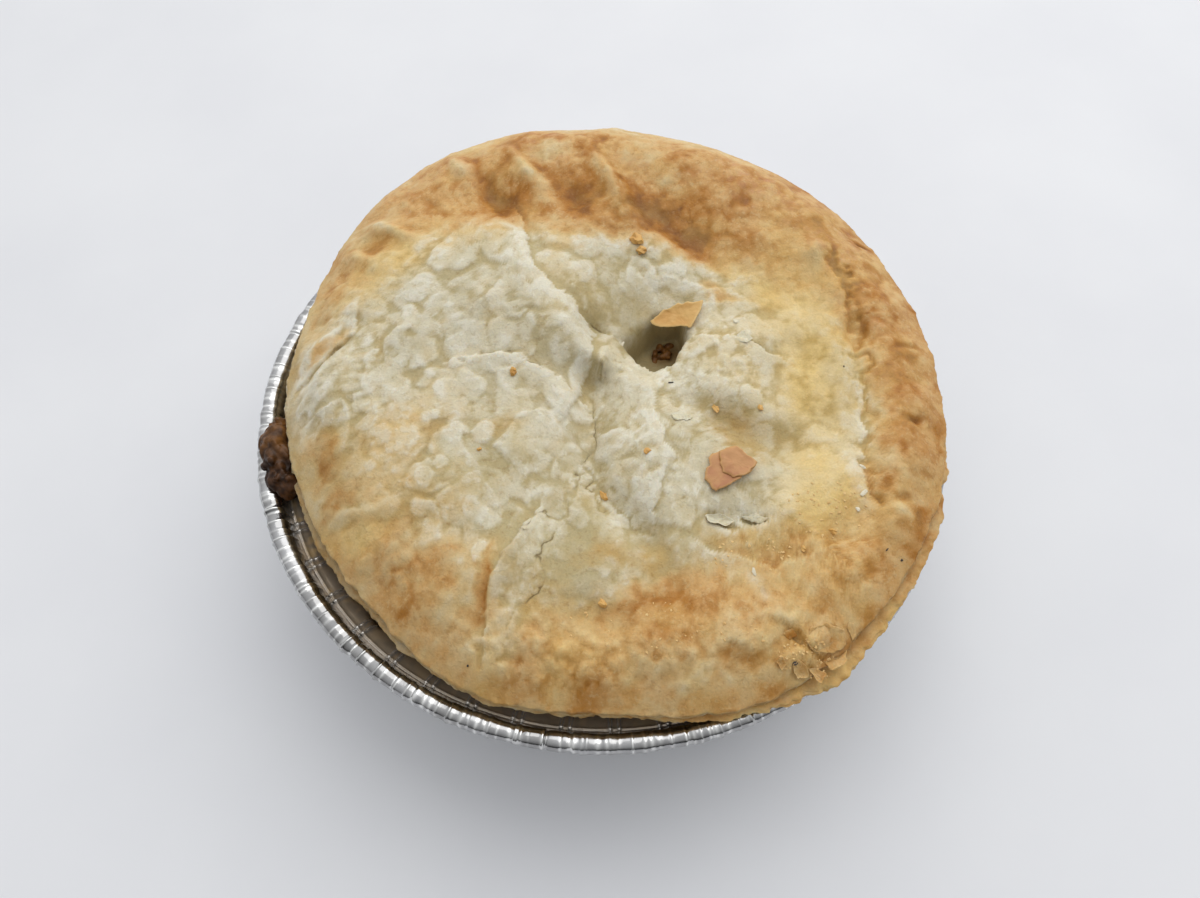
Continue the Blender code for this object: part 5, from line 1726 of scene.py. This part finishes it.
def flake_parts(corners, plane, lift, thickness, seed):
    """Points, faces and rim mask of one flake: an upper and a lower sheet of shrinking rings. The rim is
    thin, the middle is as thick as it says, and the outer rings curl up."""
    rim_x, rim_y = outline_ring(corners, FLAKE_COLUMNS, 0.26 * MM, seed)
    rim_x, rim_y = rim_x[::-1], rim_y[::-1]
    middle_x, middle_y = rim_x.mean(), rim_y.mean()
    share = np.linspace(1, 0.08, FLAKE_RINGS)[:, None]
    x, y = middle_x + share * (rim_x - middle_x), middle_y + share * (rim_y - middle_y)
    level = plane[0] * x + plane[1] * y + plane[2] + lift
    curl = 0.40 * MM * share**3 * (0.6 + 0.8 * fractal(x, y, 5 * MM, 2, seed + 2))
    skin = 0.09 * MM * fractal(x, y, 1.3 * MM, 3, seed + 3) + 0.14 * MM * shards(x, y, 2.2 * MM, seed + 4)
    half = 0.5 * thickness * np.sqrt(np.clip(1.02 - share**6, 0, 1))
    upper = np.stack([x, y, level + curl + half + skin * (1 - share**8)], -1)
    lower = np.stack([x, y, level + curl - half], -1)
    rings = np.concatenate([upper[::-1], lower])
    points = np.concatenate([rings.reshape(-1, 3), [upper[-1].mean(0), lower[-1].mean(0)]])
    count = len(rings)
    first, last = np.arange(FLAKE_COLUMNS), (count - 1) * FLAKE_COLUMNS + np.arange(FLAKE_COLUMNS)
    quads = ring_quads(count, FLAKE_COLUMNS)[:, ::-1]
    poles = [fan(first[::-1], count * FLAKE_COLUMNS), fan(last, count * FLAKE_COLUMNS + 1)]
    rim = np.repeat(np.concatenate([share[::-1], share]), FLAKE_COLUMNS)
    return points, quads, np.concatenate(poles), np.concatenate([rim, [0, 0]])


def flakes(name, *rows):
    """One mesh of several flakes, which all have the same faces."""
    points, quads, triangles, rims = zip(*(flake_parts(*row) for row in rows))
    faces = (repeated(part[0], len(rows), len(points[0])) for part in (quads, triangles))
    made = mesh_object(name, np.concatenate(points), *faces)
    give_mask(made, "rim", np.concatenate(rims))
    return made


def flake_material(name, middle, patch, rim):
    """One colour in the middle, patches of a second, and a rim of a third where the layers show."""
    made, tree, shader = new_material(name)
    colour = mixed(tree, soft_mottle(tree, 330.0, 0.42, 0.66), middle, patch)
    edge = ranged(tree, mask_of(tree, "rim"), 0.86, 1.0)
    feed(tree, shader, {
        "Base Color": mixed(tree, edge, colour, rim),
        "Normal": bumped(tree, crumb_grain(tree, 1100.0, 0.5)["Height"], 0.5, 0.00015),
        "Roughness": 0.5,
    })
    return made


gold_look = flake_material("golden_flake", linear(212, 168, 98), linear(204, 154, 82), linear(222, 188, 124))
pink_look = flake_material("browned_flake", linear(190, 138, 86), linear(176, 116, 74), linear(202, 156, 98))
gold_flake = flakes("loose_gold_flake", (GOLD_FLAKE, node_plane("gold_flake"), 0.1 * MM, 0.38 * MM, 210))
pink_flake = flakes("loose_pink_flake", (PINK_FLAKE, node_plane("pink_flake"), -0.10 * MM, 0.42 * MM, 220))
pink_upper = flakes("loose_pink_flake_top", (PINK_UPPER, node_plane("pink_flake"), 0.30 * MM, 0.38 * MM, 230))
for made, node, look, slot in (
    (gold_flake, "gold_flake", gold_look, "golden_flake"),
    (pink_flake, "pink_flake", pink_look, "browned_flake"),
    (pink_upper, "pink_flake", pink_look, "browned_flake"),
):
    made.data.materials.append(look)
    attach(made, "root")
    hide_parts(node)

# %% [markdown]
# Lifted plates and crumbs
#
# Puff pastry sheds. At the broken corner its top layers stand up as curled plates, and crumbs lie all over
# the lid: a few orange ones that came off the rim, pale ones, dark burnt specks, and fine golden dust where
# it is flaky. Each kind is one joined mesh. A crumb is a rough ball, turned at random and half sunk.

# %% Lifted plates
PLATE_THICKNESS = 0.22 * MM
CORNER_PLATES = (
    ((27.8, -46.9), (28.6, -44.8), (31.2, -43.8), (34.0, -44.8), (34.2, -46.6), (32.0, -47.9), (29.4, -48.0)),
    ((30.4, -48.8), (32.4, -48.7), (34.2, -47.4), (33.6, -49.2), (31.6, -50.2)),
    ((25.4, -49.8), (26.6, -49.2), (27.8, -50.2), (28.0, -51.4), (26.2, -51.6)),
    ((28.2, -50.2), (29.6, -49.8), (30.8, -50.8), (30.0, -52.0), (28.8, -51.6)),
    ((34.6, -43.4), (35.6, -43.8), (36.0, -45.4), (35.0, -46.0), (34.6, -44.8)),
    ((23.2, -49.4), (24.2, -48.8), (24.8, -49.8), (24.0, -50.6)),
    ((24.6, -45.4), (26.0, -44.9), (26.6, -45.9), (25.4, -46.4)),
)
PALE_PLATES = (
    ((22.4, 5.0), (24.0, 6.0), (25.4, 4.2), (24.2, 3.0), (22.8, 3.4)),
    ((14.6, -27.2), (16.8, -26.6), (19.4, -28.0), (17.6, -28.9), (15.6, -28.6)),
    ((20.4, -27.0), (22.6, -26.8), (24.4, -27.8), (22.6, -28.6)),
    ((10.6, -9.4), (12.4, -8.8), (14.2, -9.6), (13.2, -10.8), (11.4, -10.6)),
)


def lid_level(x, y):
    """Height of the finished lid at any place."""
    top = broad_height(x, y) + fine_relief(x, y, browning(x, y))
    down = vent_share(x, y)
    return top * (1 - down) + VENT_FLOOR * down


def lid_plane(corners):
    """Slopes and height of the plane that best fits the lid under an outline."""
    x, y = np.array(corners).T * MM
    return best_plane(x, y, lid_level(x, y))


def plates(name, outlines, lift, seed):
    """Thin plates that stand up from the lid by so much, in one mesh, baked like the lid where they lie."""
    rows = []
    for place, outline in enumerate(outlines):
        rows.append((outline, lid_plane(outline), lift, PLATE_THICKNESS, seed + 10 * place))
    made = flakes(name, *rows)
    x, y, _ = point_values(made.data, "co").T
    baked = browning(x, y)
    masks = {"bake": baked, "flour_and_highlight": 0.15 * paleness(baked), "tear": np.full(len(x), 3.0)}
    for mask_name in ("bake", "flour_and_highlight", "tear", "yellow", "blush", "olive_and_shade", "tear_open", "gravy_and_shade", "depth"):
        give_mask(made, mask_name, masks.get(mask_name, np.zeros(len(x))))
    made.data.materials.append(pastry)
    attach(made, "root")


plates("curled_corner_plates", CORNER_PLATES, 0.02 * MM, 300)
plates("pale_raised_plates", PALE_PLATES, -0.02 * MM, 400)

# %% Crumbs
# Crumbs: x, y and three half sizes in mm.
ORANGE_CRUMBS = (
    (-14.8, -1.0, 0.8, 0.55, 0.4), (6.8, 26.2, 1.5, 1.0, 0.7), (7.6, 24.0, 1.2, 0.9, 0.6),
    (-0.5, -22.0, 1.0, 0.6, 0.45), (-1.2, -40.4, 0.7, 0.5, 0.4), (6.5, -16.6, 0.6, 0.45, 0.2),
    (18.2, -8.2, 0.9, 0.5, 0.2), (25.2, -8.4, 0.6, 0.4, 0.2), (-20.0, -15.0, 0.4, 0.3, 0.25),
    (29.0, -33.0, 0.5, 0.4, 0.3), (34.0, -30.0, 0.6, 0.4, 0.3),
)
DARK_SPECKS = (
    (11.2, -2.9, 0.5, 0.16, 0.14), (44.3, -34.2, 0.26, 0.22, 0.15), (-21.0, -48.1, 0.2, 0.16, 0.12),
    (26.0, -49.6, 0.4, 0.3, 0.2), (41.9, -33.0, 0.3, 0.12, 0.12), (40.0, -1.0, 0.18, 0.14, 0.12),
)
PALE_CRUMBS = (
    (3.4, 6.8, 0.9, 0.30, 0.15), (22.9, 8.2, 0.6, 0.4, 0.15), (21.2, -36.4, 0.7, 0.3, 0.12),
    (40.2, -19.2, 0.6, 0.3, 0.12), (39.6, -24.0, 0.7, 0.3, 0.12), (38.4, -26.4, 0.5, 0.3, 0.12),
    (-12.6, -28.6, 0.5, 0.3, 0.12),
)
# Zones: x, y, half axes in mm, and how many crumbs.
DUSTY_ZONES = (
    (34.0, -27.0, 7.0, 5.0, 60), (28.0, -49.0, 4.5, 2.6, 80),
    (22.0, -34.0, 7.0, 3.0, 40), (10.0, -44.0, 18.0, 4.0, 40),
)
DUST_SIZES = (0.10, 0.28)
CRUMB_ROUGHNESS = 0.38
CRUMB_LIFT = 0.4


def scattered_rows(zones, sizes, seed):
    """Crumbs at random in elliptical zones: x, y, and three half sizes, in mm."""
    draw = np.random.default_rng(seed)
    rows = []
    for x, y, half_x, half_y, count in zones:
        turn, away = draw.uniform(0, TURN, count), np.sqrt(draw.uniform(0, 1, count))
        long = draw.uniform(*sizes, count)
        places = x + half_x * away * np.cos(turn), y + half_y * away * np.sin(turn)
        rows.append(np.stack([*places, long, long * draw.uniform(0.5, 0.9, count), 0.35 * long], -1))
    return np.concatenate(rows)


def crumbs(name, rows, middle, patch, seed):
    """Rough balls on the lid: the unit ball times its half sizes, turned about +Z, uneven at every point."""
    draw = np.random.default_rng(seed)
    x, y, long, wide, high = (np.array(rows) * MM).T[:, :, None]
    ball, *faces = unit_ball(4, 8)
    turn = draw.uniform(0, TURN, (len(rows), 1))
    rough = 1 + draw.uniform(-CRUMB_ROUGHNESS, CRUMB_ROUGHNESS, (len(rows), len(ball)))
    along, across = long * ball[:, 0] * rough, wide * ball[:, 1] * rough
    points = np.stack([
        x + along * np.cos(turn) - across * np.sin(turn),
        y + along * np.sin(turn) + across * np.cos(turn),
        lid_level(x, y) + high * (CRUMB_LIFT + ball[:, 2] * rough),
    ], -1)
    made = mesh_object(name, points, *(repeated(part, len(rows), len(ball)) for part in faces))
    made.data.shade_flat()
    give_mask(made, "rim", np.zeros(len(rows) * len(ball)))
    made.data.materials.append(flake_material(name, middle, patch, patch))
    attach(made, "root")


crumbs("orange_crumbs", ORANGE_CRUMBS, linear(212, 166, 92), linear(198, 144, 70), 401)
crumbs("dark_specks", DARK_SPECKS, linear(58, 48, 40), linear(44, 38, 36), 416)
crumbs("pale_crumbs", PALE_CRUMBS, linear(220, 212, 188), linear(208, 196, 164), 403)
dust_rows = scattered_rows(DUSTY_ZONES, DUST_SIZES, 404)
crumbs("golden_dust", dust_rows, linear(222, 188, 126), linear(210, 170, 106), 405)

# %% [markdown]
# Floor, light and sky
#
# The photo was lit by a soft window from the back right. One large area light does that, and a pale sky
# fills the shadows. The sky is darker towards the front, which gives the foil something dark to reflect.


# %% Stage and light
SKY_STRENGTH = 0.98
WINDOW_PLACE = (0.20, 0.34, 0.60)
WINDOW_SIZE = 0.80
WINDOW_POWER = 2.3
FLOOR_HALF_SIDE = 0.9


def add_floor():
    """A wide pale sheet just under the tin."""
    corners = np.array([[-1, -1, 0], [1, -1, 0], [1, 1, 0], [-1, 1, 0]]) * FLOOR_HALF_SIDE
    floor = mesh_object("pale_floor", corners, np.array([[0, 1, 2, 3]]))
    made, tree, shader = new_material("pale_paper")
    colour = mixed(tree, soft_mottle(tree, 18.0, 0.2, 0.8), linear(224, 225, 229), linear(230, 231, 234))
    feed(tree, shader, {"Base Color": colour, "Roughness": 0.8})
    floor.data.materials.append(made)


def add_area_light(name, place, target, size, power, colour):
    """A square area light that faces a target."""
    data = bpy.data.lights.new(name, "AREA")
    data.size = size
    data.energy = power
    data.color = colour
    light = bpy.data.objects.new(name, data)
    bpy.context.scene.collection.objects.link(light)
    light.location = place
    light.rotation_euler = (Vector(target) - Vector(place)).to_track_quat("-Z", "Y").to_euler()


def add_sky():
    """Grey that is brightest overhead and to the back, and dark low at the front, where the viewer stands."""
    world = bpy.data.worlds.new("soft_room")
    bpy.context.scene.world = world
    world.use_nodes = True
    tree = world.node_tree
    direction = add(tree, "ShaderNodeTexCoord").outputs["Generated"]
    parts = add(tree, "ShaderNodeSeparateXYZ", {0: direction})
    backward = sums(tree, "MULTIPLY_ADD", parts.outputs[1], 0.30, 0.34)
    facing = sums(tree, "MULTIPLY_ADD", parts.outputs[2], 0.30, backward)
    shades = ((0.10, 0.04), (0.30, 0.40), (0.62, 0.88), (0.80, 1.18))
    colour = ramp(tree, facing, *((place, (0.98 * v, 0.99 * v, v, 1.0)) for place, v in shades))
    tree.links.new(colour, tree.nodes["Background"].inputs["Color"])
    tree.nodes["Background"].inputs["Strength"].default_value = SKY_STRENGTH


add_floor()
add_area_light("window", WINDOW_PLACE, (0, 0, 0.02), WINDOW_SIZE, WINDOW_POWER, (1.0, 0.99, 0.97))
add_sky()
bpy.context.scene.view_settings.view_transform = "Standard"
